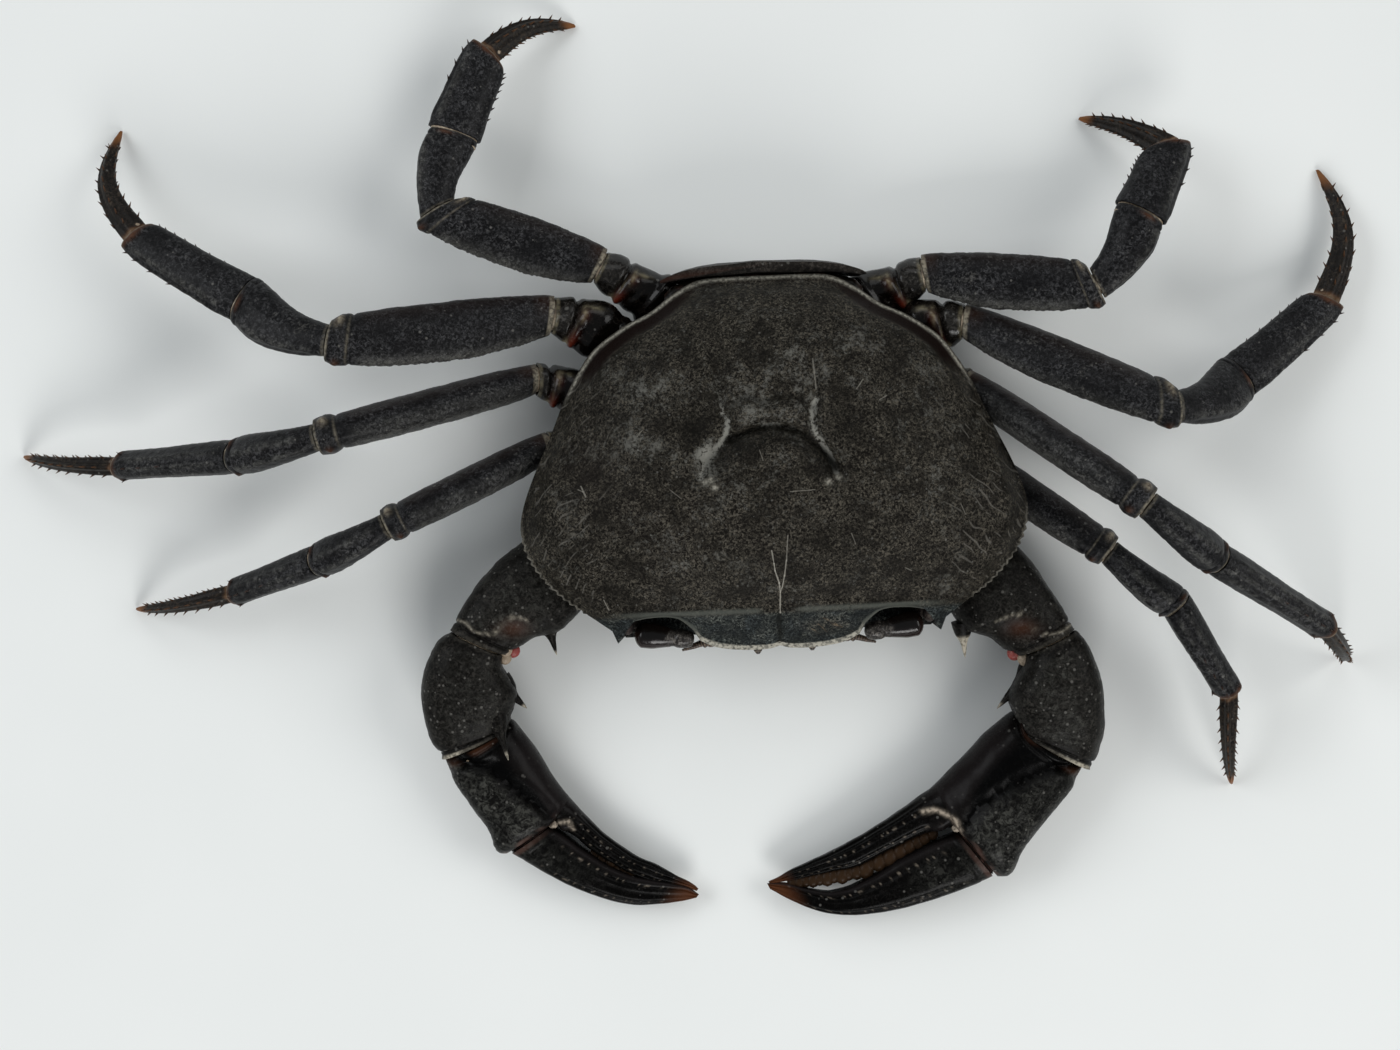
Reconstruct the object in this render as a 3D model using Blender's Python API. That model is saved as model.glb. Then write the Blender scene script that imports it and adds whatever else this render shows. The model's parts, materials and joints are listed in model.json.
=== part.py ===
"""Freshwater river crab, life size, resting belly down with its legs and claws spread.

The frame is in metres with +Z up. The crab's median plane is X = 0, it faces -Y and its left
side is +X. The origin is on the flat of the belly, which rests on the floor at Z = 0. Lengths
in the tables below are millimetres and angles are degrees.
"""

import math

import bmesh
import bpy
from mathutils import Matrix, Vector

MM = 0.001
GAP = 0.3
FLOOR = 0.0

# Carapace: plan outline of the left half from the middle of the rear edge round to the
# middle of the front, each station with its height above the floor.
REAR_EDGE = [(0.0, 24.7, 13.3), (5.0, 24.7, 13.2), (9.0, 24.4, 13.0), (12.4, 22.7, 12.8)]
REAR_SIDE = [(15.5, 20.5, 12.6), (19.0, 18.8, 12.5), (23.0, 16.0, 12.6), (25.3, 13.0, 12.8)]
MIDDLE_SIDE = [(27.2, 9.6, 13.2), (29.4, 4.4, 13.7), (31.9, -1.0, 14.0), (33.4, -5.0, 14.1)]
FRONT_SIDE = [(33.9, -8.0, 14.1), (33.4, -10.8, 14.2), (31.6, -14.1, 14.3), (28.6, -17.3, 14.6)]
CHEEK_TOOTH = [(25.4, -19.6, 15.0), (24.6, -19.9, 15.1), (24.1, -21.2, 15.1)]
ORBIT_TOOTH = [(22.9, -22.3, 15.2), (21.7, -23.6, 15.2), (20.9, -22.0, 15.6)]
ORBIT_EDGE = [(19.4, -20.7, 16.4), (17.0, -20.3, 16.9), (13.6, -20.5, 16.8), (11.4, -22.2, 16.2)]
FRONT_EDGE = [(10.6, -23.6, 15.8), (8.4, -24.6, 15.6), (5.0, -25.1, 15.5), (1.6, -25.1, 15.4)]
NOTCH = [(0.0, -24.7, 15.5)]
ORBIT_REACH = (10.9, 21.3)
SHELL_CENTRE = Vector((0.0, -3.0, 0.0))
SHELL_TOP = 26.0
CREST_Y = -19.9
CREST_HALF = 27.0
FRONT_SLOPE = 0.90
LOWER_FRONT = -22.7
ORBIT_FLOOR = 12.1
SHELL_BOTTOM = 9.4
DENTICLE = 0.28
# Cheeks beside the mouth: height, centre and half-sizes of each level.
CHEEK = [(11.2, 12.6, -16.6, 3.8, 2.9), (9.2, 12.4, -16.4, 3.6, 2.8), (7.4, 11.9, -16.1, 2.6, 2.2),
         (5.6, 11.5, -15.6, 2.05, 1.7), (4.2, 11.1, -15.2, 1.5, 1.2), (3.8, 11.0, -15.1, 1.0, 0.8)]
SPINE_LINE = [(-20, 5.5), (-15, 8.3), (-10, 10.2), (-4, 11.5), (2, 12.0), (8, 11.6)]
SPINE_LINE_REAR = [(14, 9.9), (18, 7.6), (21, 4.9), (23, 2.7), (24.7, 0.3)]
GROOVE_DEPTH = 0.75
GROOVE_WIDTH = 1.15
LONG_GROOVE = [(5.3, 13.6), (6.0, 10.4), (5.5, 7.0), (6.2, 3.0), (8.5, -2.4)]
CROSS_GROOVE = [(-5.5, 6.9), (0.0, 7.1), (5.5, 6.9)]
ARC_GROOVE = [(-6.1, 2.8), (-3.0, 4.4), (0.0, 4.7), (3.0, 4.4), (6.1, 2.8)]
FORK_GROOVE = [(-0.8, -12.0), (0.0, -17.0), (0.0, -24.9)]

# Underside: half-widths of the breastplate along Y, and of the folded tail.
STERNUM = [(21.5, 8.5), (17.25, 14.0), (10.65, 16.0), (3.3, 16.1), (-4.4, 14.8), (-8.3, 12.3),
           (-11.3, 10.2), (-12.6, 8.6)]
STERNUM_TOP = 9.1
TAIL_PATH = [(25.7, 12.3, 13.2), (25.9, 10.4, 12.6), (25.3, 7.4, 11.0), (23.9, 4.2, 8.2),
             (21.9, 1.9, 6.6), (19.4, 0.9, 6.4), (15.0, 0.8, 6.6), (10.0, 0.8, 6.1),
             (5.0, 0.8, 5.4), (0.0, 0.8, 4.4), (-4.5, 0.8, 3.2), (-7.6, 0.8, 1.5)]
TAIL_THICK = 0.9
TAIL_BOW = 0.9

# Where each limb leaves the side of the breastplate on the left half: place and outward heading.
SOCKET = {
    "claw": ((12.5, -8.1), -35),
    1: ((15.45, -0.5), -10),
    2: ((16.05, 7.0), 0),
    3: ((15.0, 14.0), 15),
    4: ((11.3, 19.6), 50),
}
SOCKET_HEIGHT = 5.0
# First joints of a limb: share of their length, half-height, half-width; and how far each
# station of the last two legs swells toward the rear.
BASE_FORM = [(0, 2.9, 3.1), (0.16, 3.05, 3.4), (0.38, 2.95, 3.3), (0.46, 2.5, 2.5),
             (0.58, 2.75, 2.75), (0.85, 2.85, 2.65)]
BASE_SWELL = {3: (0, 0.1, 0.6, 1.0, 1.1, 0.5, 0), 4: (0, 0.25, 0.7, 0.6, 0.3, 0.1, 0)}

# Walking legs: lengths of merus, carpus, propodus and dactylus, and the half-height and
# half-thickness of the merus.
LEG_SIZE = {
    1: ((24.6, 11.6, 14.0, 16.4), 3.6, 2.4),
    2: ((30.8, 12.8, 18.4, 16.6), 3.85, 2.5),
    3: ((30.7, 14.5, 17.9, 18.9), 4.1, 2.4),
    4: ((23.3, 10.9, 12.4, 14.0), 3.9, 2.3),
}
# Pose of each leg: hip, then heading and pitch of merus, carpus and propodus, the heading and
# bow of the dactylus, and how far the upper edge leans forward in the merus and in the rest.
LEG_POSE = {
    ("left", 1): ((26.0, 0.6, 6.3), ((-38, 9.5), (-41, 2), (-60, -6)), (-82, 0.11), (30, 24)),
    ("left", 2): ((27.3, 9.2, 8.2), ((-40, 29), (-38, -18), (-33, -14)), (-40, 0.11), (10, 10)),
    ("left", 3): ((27.3, 17.8, 8.2), ((-27, 17), (21, -39), (37, -14)), (88, 0.15), (50, 68)),
    ("left", 4): ((22.0, 24.6, 8.2), ((-7, 8), (57, 10), (61, -28)), (151, 0.05), (78, 78)),
    ("right", 1): ((-30.2, 3.3, 8.2), ((-155, 17), (-157, -20), (-163, -20)), (-173, 0.11), (14, 14)),
    ("right", 2): ((-31.4, 12.5, 8.4), ((-166, 18), (-171, -21), (-179, -20)), (172, 0.11), (14, 14)),
    ("right", 3): ((-28.8, 21.1, 8.4), ((-174, 18), (151, -21), (147, -10)), (104, 0.15), (76, 76)),
    ("right", 4): ((-22.0, 27.5, 8.2), ((159, 4), (76, -8), (66, -9)), (22, 0.11), (80, 80)),
}
# Leg sections: share of the length, half-height and half-thickness over those of the merus.
LEG_FORM = {
    "merus": [(0, 0.66, 0.80), (0.06, 0.75, 0.88), (0.2, 0.88, 0.97), (0.42, 1, 1),
              (0.66, 0.98, 1), (0.86, 0.88, 0.95), (0.905, 0.82, 0.88), (0.95, 0.84, 1.08),
              (1, 0.64, 0.98)],
    "carpus": [(0, 0.50, 0.74), (0.15, 0.58, 0.80), (0.45, 0.74, 0.93), (0.8, 0.88, 1.04),
               (0.94, 0.88, 1.0), (1, 0.84, 0.93)],
    "propodus": [(0, 0.82, 0.9), (0.08, 0.82, 0.92), (0.35, 0.77, 0.88), (0.7, 0.74, 0.80),
                 (0.93, 0.68, 0.80), (1, 0.58, 0.70)],
    "dactylus": [(0, 0.40, 0.48), (0.1, 0.41, 0.50), (0.35, 0.36, 0.43), (0.6, 0.28, 0.34),
                 (0.8, 0.20, 0.25), (0.93, 0.12, 0.16), (1, 0.05, 0.07)],
}
LEG_SIDES = 10
LEG_BOW = {"merus": 0.018, "carpus": 0.085, "propodus": 0.012}
PADDLE_SPREAD = 1.16
TIP_HEIGHT = 0.35

# Claws. Each table row holds the distance along the segment, the edges toward the body and
# away from it, the middle height and the half-thickness.
CLAW_SIZE = {
    "left": {
        "start": (21.9, -12.4, 6.0),
        "merus": ((35.9, -26.6, 8.6), [
            (0, -4.0, 4.4, 0, 3.5), (4, -4.6, 6.2, 0, 4.1), (8, -5.2, 7.6, 0.1, 4.6),
            (11, -5.7, 7.4, 0.2, 4.7), (13, -5.0, 6.9, 0.2, 4.6), (15.2, -4.1, 6.2, 0.1, 4.3),
            (17.8, -3.9, 5.4, 0, 4.0), (19.9, -3.3, 4.5, 0, 3.7)]),
        "carpus": ((36.6, -40.9, 6.2), [
            (0, -2.4, 4.6, 0, 3.5), (1.6, -2.7, 5.9, 0.1, 4.2), (4, -4.1, 7.0, 0.1, 4.9),
            (7, -5.1, 7.8, 0, 5.1), (10, -4.7, 7.7, 0, 5.0), (12.6, -4.4, 6.6, 0, 4.7),
            (14.3, -4.6, 5.2, 0, 4.4)]),
        "palm": ((-2.6, -58.7), [
            (0, -5.2, 4.6, 6.0, 4.4), (3, -6.2, 6.8, 5.6, 4.9), (6, -5.7, 8.7, 5.3, 5.2),
            (9, -4.4, 10.4, 5.1, 5.3), (12, -3.1, 11.7, 5.0, 5.1), (14.6, -2.2, 12.3, 4.8, 4.7),
            (16.2, -1.8, 11.9, 4.7, 4.2), (16.5, -1.7, 4.3, 4.6, 3.1), (20, -1.4, 3.6, 4.4, 2.6),
            (25, -1.2, 3.6, 4.1, 2.3), (30, -1.0, 3.1, 3.8, 2.0), (35, -1.0, 1.9, 3.4, 1.6),
            (39, -1.0, 0.5, 3.0, 1.1), (42, -0.8, -0.2, 2.8, 0.5), (42.8, -0.7, -0.4, 2.7, 0.2)]),
        "finger": [
            (16.7, 4.7, 11.7, 4.7, 3.0), (18, 4.8, 11.8, 4.6, 2.8), (21, 5.5, 11.4, 4.5, 2.6),
            (25.3, 6.0, 10.9, 4.3, 2.4), (29, 6.0, 10.1, 4.1, 2.2), (32.5, 5.5, 9.0, 3.8, 2.0),
            (35.5, 4.8, 7.9, 3.5, 1.7), (38.4, 3.7, 5.8, 3.2, 1.3), (41.1, 1.7, 2.8, 2.9, 0.7),
            (43.1, 0.1, 0.5, 2.7, 0.2)],
    },
    "right": {
        "start": (-25.7, -10.3, 6.0),
        "merus": ((-40.2, -23.3, 8.6), [
            (0, -3.8, 4.2, 0, 3.3), (3, -4.8, 5.2, 0, 3.8), (6.5, -6.0, 6.3, 0.1, 4.2),
            (10, -6.1, 6.7, 0.2, 4.3), (12.6, -5.3, 6.6, 0.2, 4.2), (15, -4.1, 6.2, 0.1, 4.0),
            (17.4, -3.7, 5.4, 0, 3.7), (19.5, -3.2, 4.5, 0, 3.4)]),
        "carpus": ((-41.6, -36.7, 5.8), [
            (0, -2.9, 4.4, 0, 3.3), (1.6, -2.8, 6.2, 0.1, 3.9), (4, -3.9, 7.5, 0.1, 4.4),
            (6.7, -5.0, 8.1, 0, 4.6), (9.4, -4.7, 7.6, 0, 4.5), (11.8, -4.2, 6.4, 0, 4.2),
            (13.4, -4.3, 4.9, 0, 3.9)]),
        "palm": ((-12.3, -59.3), [
            (0, -4.8, 4.8, 5.5, 3.8), (3, -4.7, 6.8, 5.0, 4.1), (6, -3.6, 8.3, 4.5, 4.4),
            (9, -2.3, 9.5, 4.2, 4.4), (11.6, -1.3, 10.2, 4.1, 4.2), (13.6, -0.8, 10.1, 4.0, 3.8),
            (14.5, -0.7, 9.6, 3.9, 3.4), (14.8, -0.6, 3.9, 3.8, 2.5), (18, 0.1, 4.3, 3.6, 2.2),
            (22, 0.7, 4.6, 3.4, 1.9), (26, 0.8, 4.7, 3.1, 1.6), (30, 0.1, 4.0, 2.9, 1.3),
            (33.5, -0.3, 2.1, 2.7, 0.9), (36, -0.5, 0.5, 2.5, 0.4), (36.6, -0.4, 0.1, 2.4, 0.2)]),
        "finger": [
            (15.0, 4.4, 9.5, 3.9, 2.4), (17, 4.6, 9.4, 3.8, 2.3), (20, 4.9, 9.0, 3.7, 2.1),
            (24, 5.1, 8.4, 3.5, 1.9), (27.5, 5.0, 7.6, 3.2, 1.6), (30.5, 4.4, 6.3, 3.0, 1.3),
            (33.3, 2.9, 4.4, 2.8, 1.0), (35.6, 1.2, 2.4, 2.6, 0.6), (37.1, 0.4, 0.8, 2.4, 0.2)],
    },
}
CLAW_SIDES = 14
SPINE_SIDES = 5
SPINE_ROOT = 0.35

# Claw spines: distance along the segment, place across it, height over its middle, angles
# toward the body and upward from the segment's own line, length and root radius.
CLAW_SPINES = {
    ("left", "merus"): [(11.6, -5.0, 1.2, 66, 0, 4.6, 1.15), (14.6, -3.6, -1.0, 60, 0, 2.0, 0.7)],
    ("left", "carpus"): [(6.3, -4.3, 1.2, 52, 0, 4.4, 1.2), (10.2, -3.2, 2.8, 30, 14, 3.0, 0.9)],
    ("right", "merus"): [(11.3, -5.2, 1.2, 58, 0, 4.6, 1.1), (14.4, -3.6, -1.0, 60, 0, 2.0, 0.7)],
    ("right", "carpus"): [(6.9, -4.4, 1.2, 46, 0, 3.8, 1.1), (10.4, -2.9, 2.9, 12, 14, 4.6, 1.0)],
}
# Teeth on the cutting edges of the palm's fixed finger and of the movable finger: distance
# along the hand and height of each.
CLAW_TEETH = {
    "left": (((19.2, 0.8), (21.4, 1.1), (24.0, 1.5), (27.0, 1.2), (29.6, 0.9), (32.4, 1.1), (35.4, 0.8)),
             ((20.6, 0.9), (23.4, 1.0), (26.6, 1.3), (30.2, 1.0), (34.0, 0.9))),
    "right": (((19.0, 0.45), (22.5, 0.5), (26.5, 0.45)), ((20.8, 0.45), (24.6, 0.45))),
}
LEG_SPINES = {
    "dactylus": (((0.16, 0.9), (0.34, 1.0), (0.52, 1.0), (0.70, 0.9)),
                 ((0.25, 0.8), (0.46, 0.9), (0.66, 0.8))),
    "propodus": (((0.88, 1.0),), ((0.50, 0.8), (0.88, 1.0))),
}

# Head.
EYE_INNER = Vector((11.4, -23.5, 14.5))
EYE_OUTER = Vector((19.3, -22.5, 14.0))
EYE_FORM = [(0, 0.45), (0.04, 0.9), (0.15, 1.22), (0.4, 1.3), (0.6, 1.36), (0.72, 1.62),
            (0.84, 1.72), (0.93, 1.36), (0.98, 0.7), (1, 0.3)]
ANTENNA_ROOT = Vector((8.6, -23.6, 11.4))
ANTENNA_HEADING = -18
ANTENNA_FORM = [(0, 0.9), (0.7, 1.0), (1.6, 0.8), (1.9, 0.5), (3.2, 0.4), (4.7, 0.27)]
ANTENNULE_ROOTS = [(-2.9, -23.6, 11.9), (4.4, -23.4, 11.9)]
EPISTOME = [(-7.0, 0.5), (-6.4, 1.0), (-3.0, 1.15), (0.0, 1.25), (3.0, 1.15), (6.4, 1.0), (7.0, 0.5)]
MOUTH_FOOT = Vector((0.0, -14.9, 2.2))
MOUTH_HEAD = Vector((0.0, -20.3, 9.9))
MOUTH_HALF = 4.1
MOUTH_FORM = [(0, 0.55), (0.06, 0.8), (0.2, 0.96), (0.5, 1.0), (0.62, 0.98), (0.66, 0.9),
              (0.70, 0.97), (0.85, 0.92), (0.95, 0.75), (1, 0.5)]


def clear_scene():
    """Remove every object that the file starts with."""
    for obj in list(bpy.data.objects):
        bpy.data.objects.remove(obj, do_unlink=True)


def coat(obj, colour, roughness):
    """Give an object a plain material of its own."""
    material = bpy.data.materials.new(obj.name + "_shell")
    material.use_nodes = True
    shader = material.node_tree.nodes["Principled BSDF"]
    shader.inputs["Base Color"].default_value = (*colour, 1.0)
    shader.inputs["Roughness"].default_value = roughness
    shader.inputs["Metallic"].default_value = 0.0
    obj.data.materials.append(material)


def mesh_of(bm, name):
    """Turn a bmesh into a mesh with its faces outward."""
    bmesh.ops.recalc_face_normals(bm, faces=bm.faces)
    mesh = bpy.data.meshes.new(name)
    bm.to_mesh(mesh)
    bm.free()
    return mesh


def finish(bm, name, colour, roughness, angle=40, grown=()):
    """Turn a bmesh in millimetres into a named object in metres, smooth except at sharp edges."""
    obj = bpy.data.objects.new(name, mesh_of(bm, name))
    bpy.context.scene.collection.objects.link(obj)
    if grown:
        fuse(obj, grown)
    obj.data.transform(Matrix.Scale(MM, 4))
    obj.data.shade_smooth()
    obj.data.set_sharp_from_angle(angle=math.radians(angle))
    coat(obj, colour, roughness)
    return obj


def spine(root, direction, length, radius):
    """A tapering spine whose root is sunk by a share of its length."""
    bm = bmesh.new()
    turn = direction.to_track_quat("Z", "Y").to_matrix().to_4x4()
    centre = root + direction.normalized() * (length / 2 - SPINE_ROOT * length)
    bmesh.ops.create_cone(bm, cap_ends=True, segments=SPINE_SIDES, radius1=radius,
                          radius2=radius * 0.16, depth=length, matrix=Matrix.Translation(centre) @ turn)
    return bm


def fuse(obj, grown):
    """Join closed forms, such as spines, to the object that they grow from."""
    group = bpy.data.collections.new(obj.name + "_grown")
    for bm in grown:
        group.objects.link(bpy.data.objects.new(obj.name + "_grown", mesh_of(bm, "grown")))
    union = obj.modifiers.new("grown", "BOOLEAN")
    union.operation = "UNION"
    union.operand_type = "COLLECTION"
    union.collection = group
    union.solver = "MANIFOLD"
    bpy.context.view_layer.update()
    evaluated = obj.evaluated_get(bpy.context.evaluated_depsgraph_get())
    joined = bpy.data.meshes.new_from_object(evaluated)
    obj.modifiers.remove(union)
    for form in list(group.objects):
        bpy.data.objects.remove(form, do_unlink=True)
    bpy.data.collections.remove(group)
    obj.data = largest_surface(joined, obj.name)


def largest_surface(mesh, name):
    """Keep the largest closed surface of a mesh."""
    bm = bmesh.new()
    bm.from_mesh(mesh)
    left = set(bm.verts)
    islands = []
    while left:
        grown = [left.pop()]
        for vert in grown:
            near = {edge.other_vert(vert) for edge in vert.link_edges} & left
            left -= near
            grown.extend(near)
        islands.append(grown)
    islands.sort(key=len)
    loose = [vert for island in islands[:-1] for vert in island]
    bmesh.ops.delete(bm, geom=loose, context="VERTS")
    return mesh_of(bm, name)


def skin(rings, bm=None):
    """Close a tube over rings of equal point counts, as a grid rolled up and capped."""
    bm = bm or bmesh.new()
    across = len(rings[0])
    made = bmesh.ops.create_grid(
        bm, x_segments=across, y_segments=len(rings) - 1, size=1.0)
    verts = made["verts"]
    for row, ring in enumerate(rings):
        for column in range(across + 1):
            verts[row * (across + 1) + column].co = ring[column % across]
    seam = {verts[row * (across + 1) + across]: verts[row * (across + 1)]
            for row in range(len(rings))}
    bmesh.ops.weld_verts(bm, targetmap=seam)
    open_edges = [edge for edge in bm.edges if edge.is_boundary]
    bmesh.ops.edgeloop_fill(bm, edges=open_edges)
    return bm


def rounded(angle, power):
    """A point on a superellipse of half-axes one."""
    c = math.cos(angle)
    s = math.sin(angle)
    return (math.copysign(abs(c) ** (2 / power), c), math.copysign(abs(s) ** (2 / power), s))


def section(centre, across, up, half_across, half_up, sides, power=2.2, ridge=0.0):
    """One ring of points; ridge narrows the upper side into a crest."""
    ring = []
    for step in range(sides):
        x, y = rounded(math.tau * (step + 0.5) / sides, power)
        width = half_across * (1 - ridge * max(0.0, y))
        ring.append(centre + across * (x * width) + up * (y * half_up))
    return ring


def heading_vector(heading, pitch=0.0):
    """Unit vector at a heading from +X about Z and a pitch above the floor."""
    h = math.radians(heading)
    p = math.radians(pitch)
    return Vector((math.cos(h) * math.cos(p), math.sin(h) * math.cos(p), math.sin(p)))


def frame_of(direction, lean, mirror):
    """Across and up vectors of a limb, its upper edge leaning forward by an angle."""
    side = direction.cross(Vector((0, 0, 1))).normalized()
    up = side.cross(direction).normalized()
    side = side * mirror
    angle = math.radians(lean)
    return (side * math.cos(angle) - up * math.sin(angle),
            up * math.cos(angle) + side * math.sin(angle))


def mitre(ring, centre, direction, plane, share):
    """Slide points along a limb so that a share of them meets the plane of a joint."""
    point, normal = plane
    slope = direction.dot(normal)
    return [p - direction * ((p - centre).dot(normal) / slope * share) for p in ring]


def joint_plane(place, before, after):
    """Plane that splits the bend at a joint."""
    return place, (before + after).normalized()


def limb_rings(stations, start_plane, end_plane, direction, length):
    """Rings along a limb, cut off by the planes of its two joints with half the gap at each."""
    rings = []
    for distance, centre, ring in stations:
        if start_plane:
            share = max(0.0, 1 - distance / (0.55 * length)) ** 1.5
            ring = mitre(ring, centre, direction, start_plane, share)
            step = direction * (GAP / 2 / direction.dot(start_plane[1]))
            ring = [p + step * max(0.0, 1 - distance / length) for p in ring]
        if end_plane:
            share = max(0.0, 1 - (length - distance) / (0.55 * length)) ** 1.5
            ring = mitre(ring, centre, direction, end_plane, share)
            step = direction * (GAP / 2 / direction.dot(end_plane[1]))
            ring = [p - step * (distance / length) for p in ring]
        rings.append([Vector((p.x, p.y, max(p.z, FLOOR))) for p in ring])
    return rings


def smooth_closed(points, rounds, reach):
    """Running average of a closed row of points."""
    count = len(points)
    for _ in range(rounds):
        points = [sum((points[(i + k) % count] for k in range(-reach, reach + 1)),
                      Vector((0, 0, 0))) / (2 * reach + 1) for i in range(count)]
    return points


def curve_through(points, count):
    """Even points along a smooth open curve through the given ones."""
    dense = []
    for i in range(len(points) - 1):
        p0 = points[max(i - 1, 0)]
        p1 = points[i]
        p2 = points[i + 1]
        p3 = points[min(i + 2, len(points) - 1)]
        for k in range(12):
            t = k / 12
            dense.append(0.5 * (2 * p1 + (p2 - p0) * t + (2 * p0 - 5 * p1 + 4 * p2 - p3) * t ** 2
                                + (3 * p1 - p0 - 3 * p2 + p3) * t ** 3))
    dense.append(points[-1])
    walk = [0.0]
    for a, b in zip(dense, dense[1:]):
        walk.append(walk[-1] + (b - a).length)
    out = []
    for k in range(count):
        want = walk[-1] * k / (count - 1)
        i = max(j for j in range(len(walk)) if walk[j] <= want + 1e-9)
        i = min(i, len(dense) - 2)
        t = (want - walk[i]) / (walk[i + 1] - walk[i])
        out.append(dense[i].lerp(dense[i + 1], t))
    return out


def interpolate(table, x):
    """Straight-line reading of a table of (x, value) rows in rising or falling order."""
    rows = sorted(table)
    if x <= rows[0][0]:
        return rows[0][1]
    for (x0, y0), (x1, y1) in zip(rows, rows[1:]):
        if x <= x1:
            return y0 + (y1 - y0) * (x - x0) / (x1 - x0)
    return rows[-1][1]


def segment_distance(x, y, line):
    """Distance from a point to a polyline in plan."""
    best = 1e9
    for (x0, y0), (x1, y1) in zip(line, line[1:]):
        dx = x1 - x0
        dy = y1 - y0
        t = max(0.0, min(1.0, ((x - x0) * dx + (y - y0) * dy) / (dx * dx + dy * dy)))
        best = min(best, math.hypot(x - x0 - t * dx, y - y0 - t * dy))
    return best


def outline_points():
    """Closed outline of the carapace, with fine teeth along its front side edges."""
    half = [Vector(p) for p in REAR_EDGE + REAR_SIDE + MIDDLE_SIDE + FRONT_SIDE]
    side = curve_through(half, 27)
    saw = curve_through([half[-4], half[-3], half[-2], half[-1], Vector(CHEEK_TOOTH[0])], 15)
    start = next(i for i, p in enumerate(side) if p.y < half[-4].y)
    side = side[:start] + saw
    for i in range(start, len(side) - 1):
        outward = (side[i] - SHELL_CENTRE).normalized()
        outward.z = 0
        side[i] = side[i] + outward * (DENTICLE if i % 2 else -DENTICLE)
    teeth = [Vector(p) for p in CHEEK_TOOTH[1:] + ORBIT_TOOTH]
    orbit = curve_through([Vector(p) for p in ORBIT_EDGE], 6)
    front = curve_through([Vector(p) for p in FRONT_EDGE + NOTCH], 7)
    left = side + teeth + orbit + front
    right = [Vector((-p.x, p.y, p.z)) for p in reversed(left[1:-1])]
    return left + right


HALF_WIDTHS = [(p[1], p[0]) for p in REAR_EDGE[1:] + REAR_SIDE + MIDDLE_SIDE + FRONT_SIDE]


def shell_height(x, y):
    """Height of the carapace's upper face above the floor."""
    side = abs(x)
    ahead = max(CREST_Y, y)
    half = interpolate(HALF_WIDTHS + [(CREST_Y, CREST_HALF)], ahead)
    base = interpolate([(-20, 14.8), (-8, 14.1), (14, 12.8), (24.7, 13.3)], ahead)
    rise = interpolate(SPINE_LINE + SPINE_LINE_REAR, ahead)
    share = max(0.0, 1 - min(1.0, side / half) ** 2.6) ** 0.62
    height = base + rise * share
    if y < CREST_Y:
        height -= (CREST_Y - y) * FRONT_SLOPE
    height -= 0.35 * math.exp(-((y - CREST_Y - 1.6) / 1.1) ** 2)
    height += 0.45 * math.exp(-((side - 17) / 8) ** 2 - ((y + 2) / 9) ** 2)
    for line in (LONG_GROOVE, CROSS_GROOVE, ARC_GROOVE, FORK_GROOVE):
        depth = GROOVE_DEPTH * (0.6 if line is FORK_GROOVE else 1.0)
        where = x if line is FORK_GROOVE else side
        away = min(segment_distance(where, y, line), segment_distance(x, y, line))
        height -= depth * math.exp(-(away / GROOVE_WIDTH) ** 2)
    return height


def make_carapace():
    """Carapace: domed shield, front, eye sockets, cheeks and the flanks that turn in underneath."""
    edge = outline_points()
    inner = smooth_closed(edge, 4, 4)
    count = len(edge)
    rings = []
    for share in (0.13, 0.2, 0.26, 0.32, 0.38, 0.45, 0.53, 0.61, 0.69, 0.77, 0.84, 0.90, 0.95):
        mix = max(0.0, (share - 0.5) / 0.5) ** 3
        ring = []
        for i in range(count):
            target = inner[i].lerp(edge[i], mix)
            p = SHELL_CENTRE + (target - SHELL_CENTRE) * share
            blend = max(0.0, (share - 0.92) / 0.08) ** 2
            height = shell_height(p.x, p.y)
            ring.append(Vector((p.x, p.y, height + (edge[i].z - height) * blend)))
        rings.append(ring)
    rings.append([p.copy() for p in edge])
    in_orbit = []
    below = []
    for p in edge:
        sits = ORBIT_REACH[0] < abs(p.x) < ORBIT_REACH[1] and p.y < -19
        in_orbit.append(sits)
        under = p.copy()
        if abs(p.x) < ORBIT_REACH[1] and p.y < -19:
            under.y = LOWER_FRONT
        below.append(under)
    level = smooth_closed(below, 3, 3)
    for step, (share, drop) in enumerate(((0.99, 0.16), (0.975, 0.38), (0.965, 0.5), (0.945, 0.6),
                                          (0.88, 0.72), (0.72, 0.87), (0.55, 1.0))):
        ring = []
        for i in range(count):
            source = edge[i] if in_orbit[i] and step < 2 else below[i]
            source = level[i] if step > 3 else source
            p = SHELL_CENTRE + (source - SHELL_CENTRE) * share
            z = edge[i].z + (SHELL_BOTTOM - edge[i].z) * drop
            if in_orbit[i] and step == 1:
                z = ORBIT_FLOOR + 0.3
            elif in_orbit[i] and step == 2:
                z = ORBIT_FLOOR
            elif in_orbit[i] and step == 3:
                z = ORBIT_FLOOR - 0.9
            ring.append(Vector((p.x, p.y, z)))
        rings.append(ring)
    cheeks = []
    for mirror in (1, -1):
        cheeks.append(skin([section(Vector((x * mirror, y, z)), Vector((1, 0, 0)), Vector((0, 1, 0)), wide, deep, 14)
                            for z, x, y, wide, deep in CHEEK]))
    return finish(skin(rings), "carapace", (0.030, 0.028, 0.026), 0.72, grown=cheeks)


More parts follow.
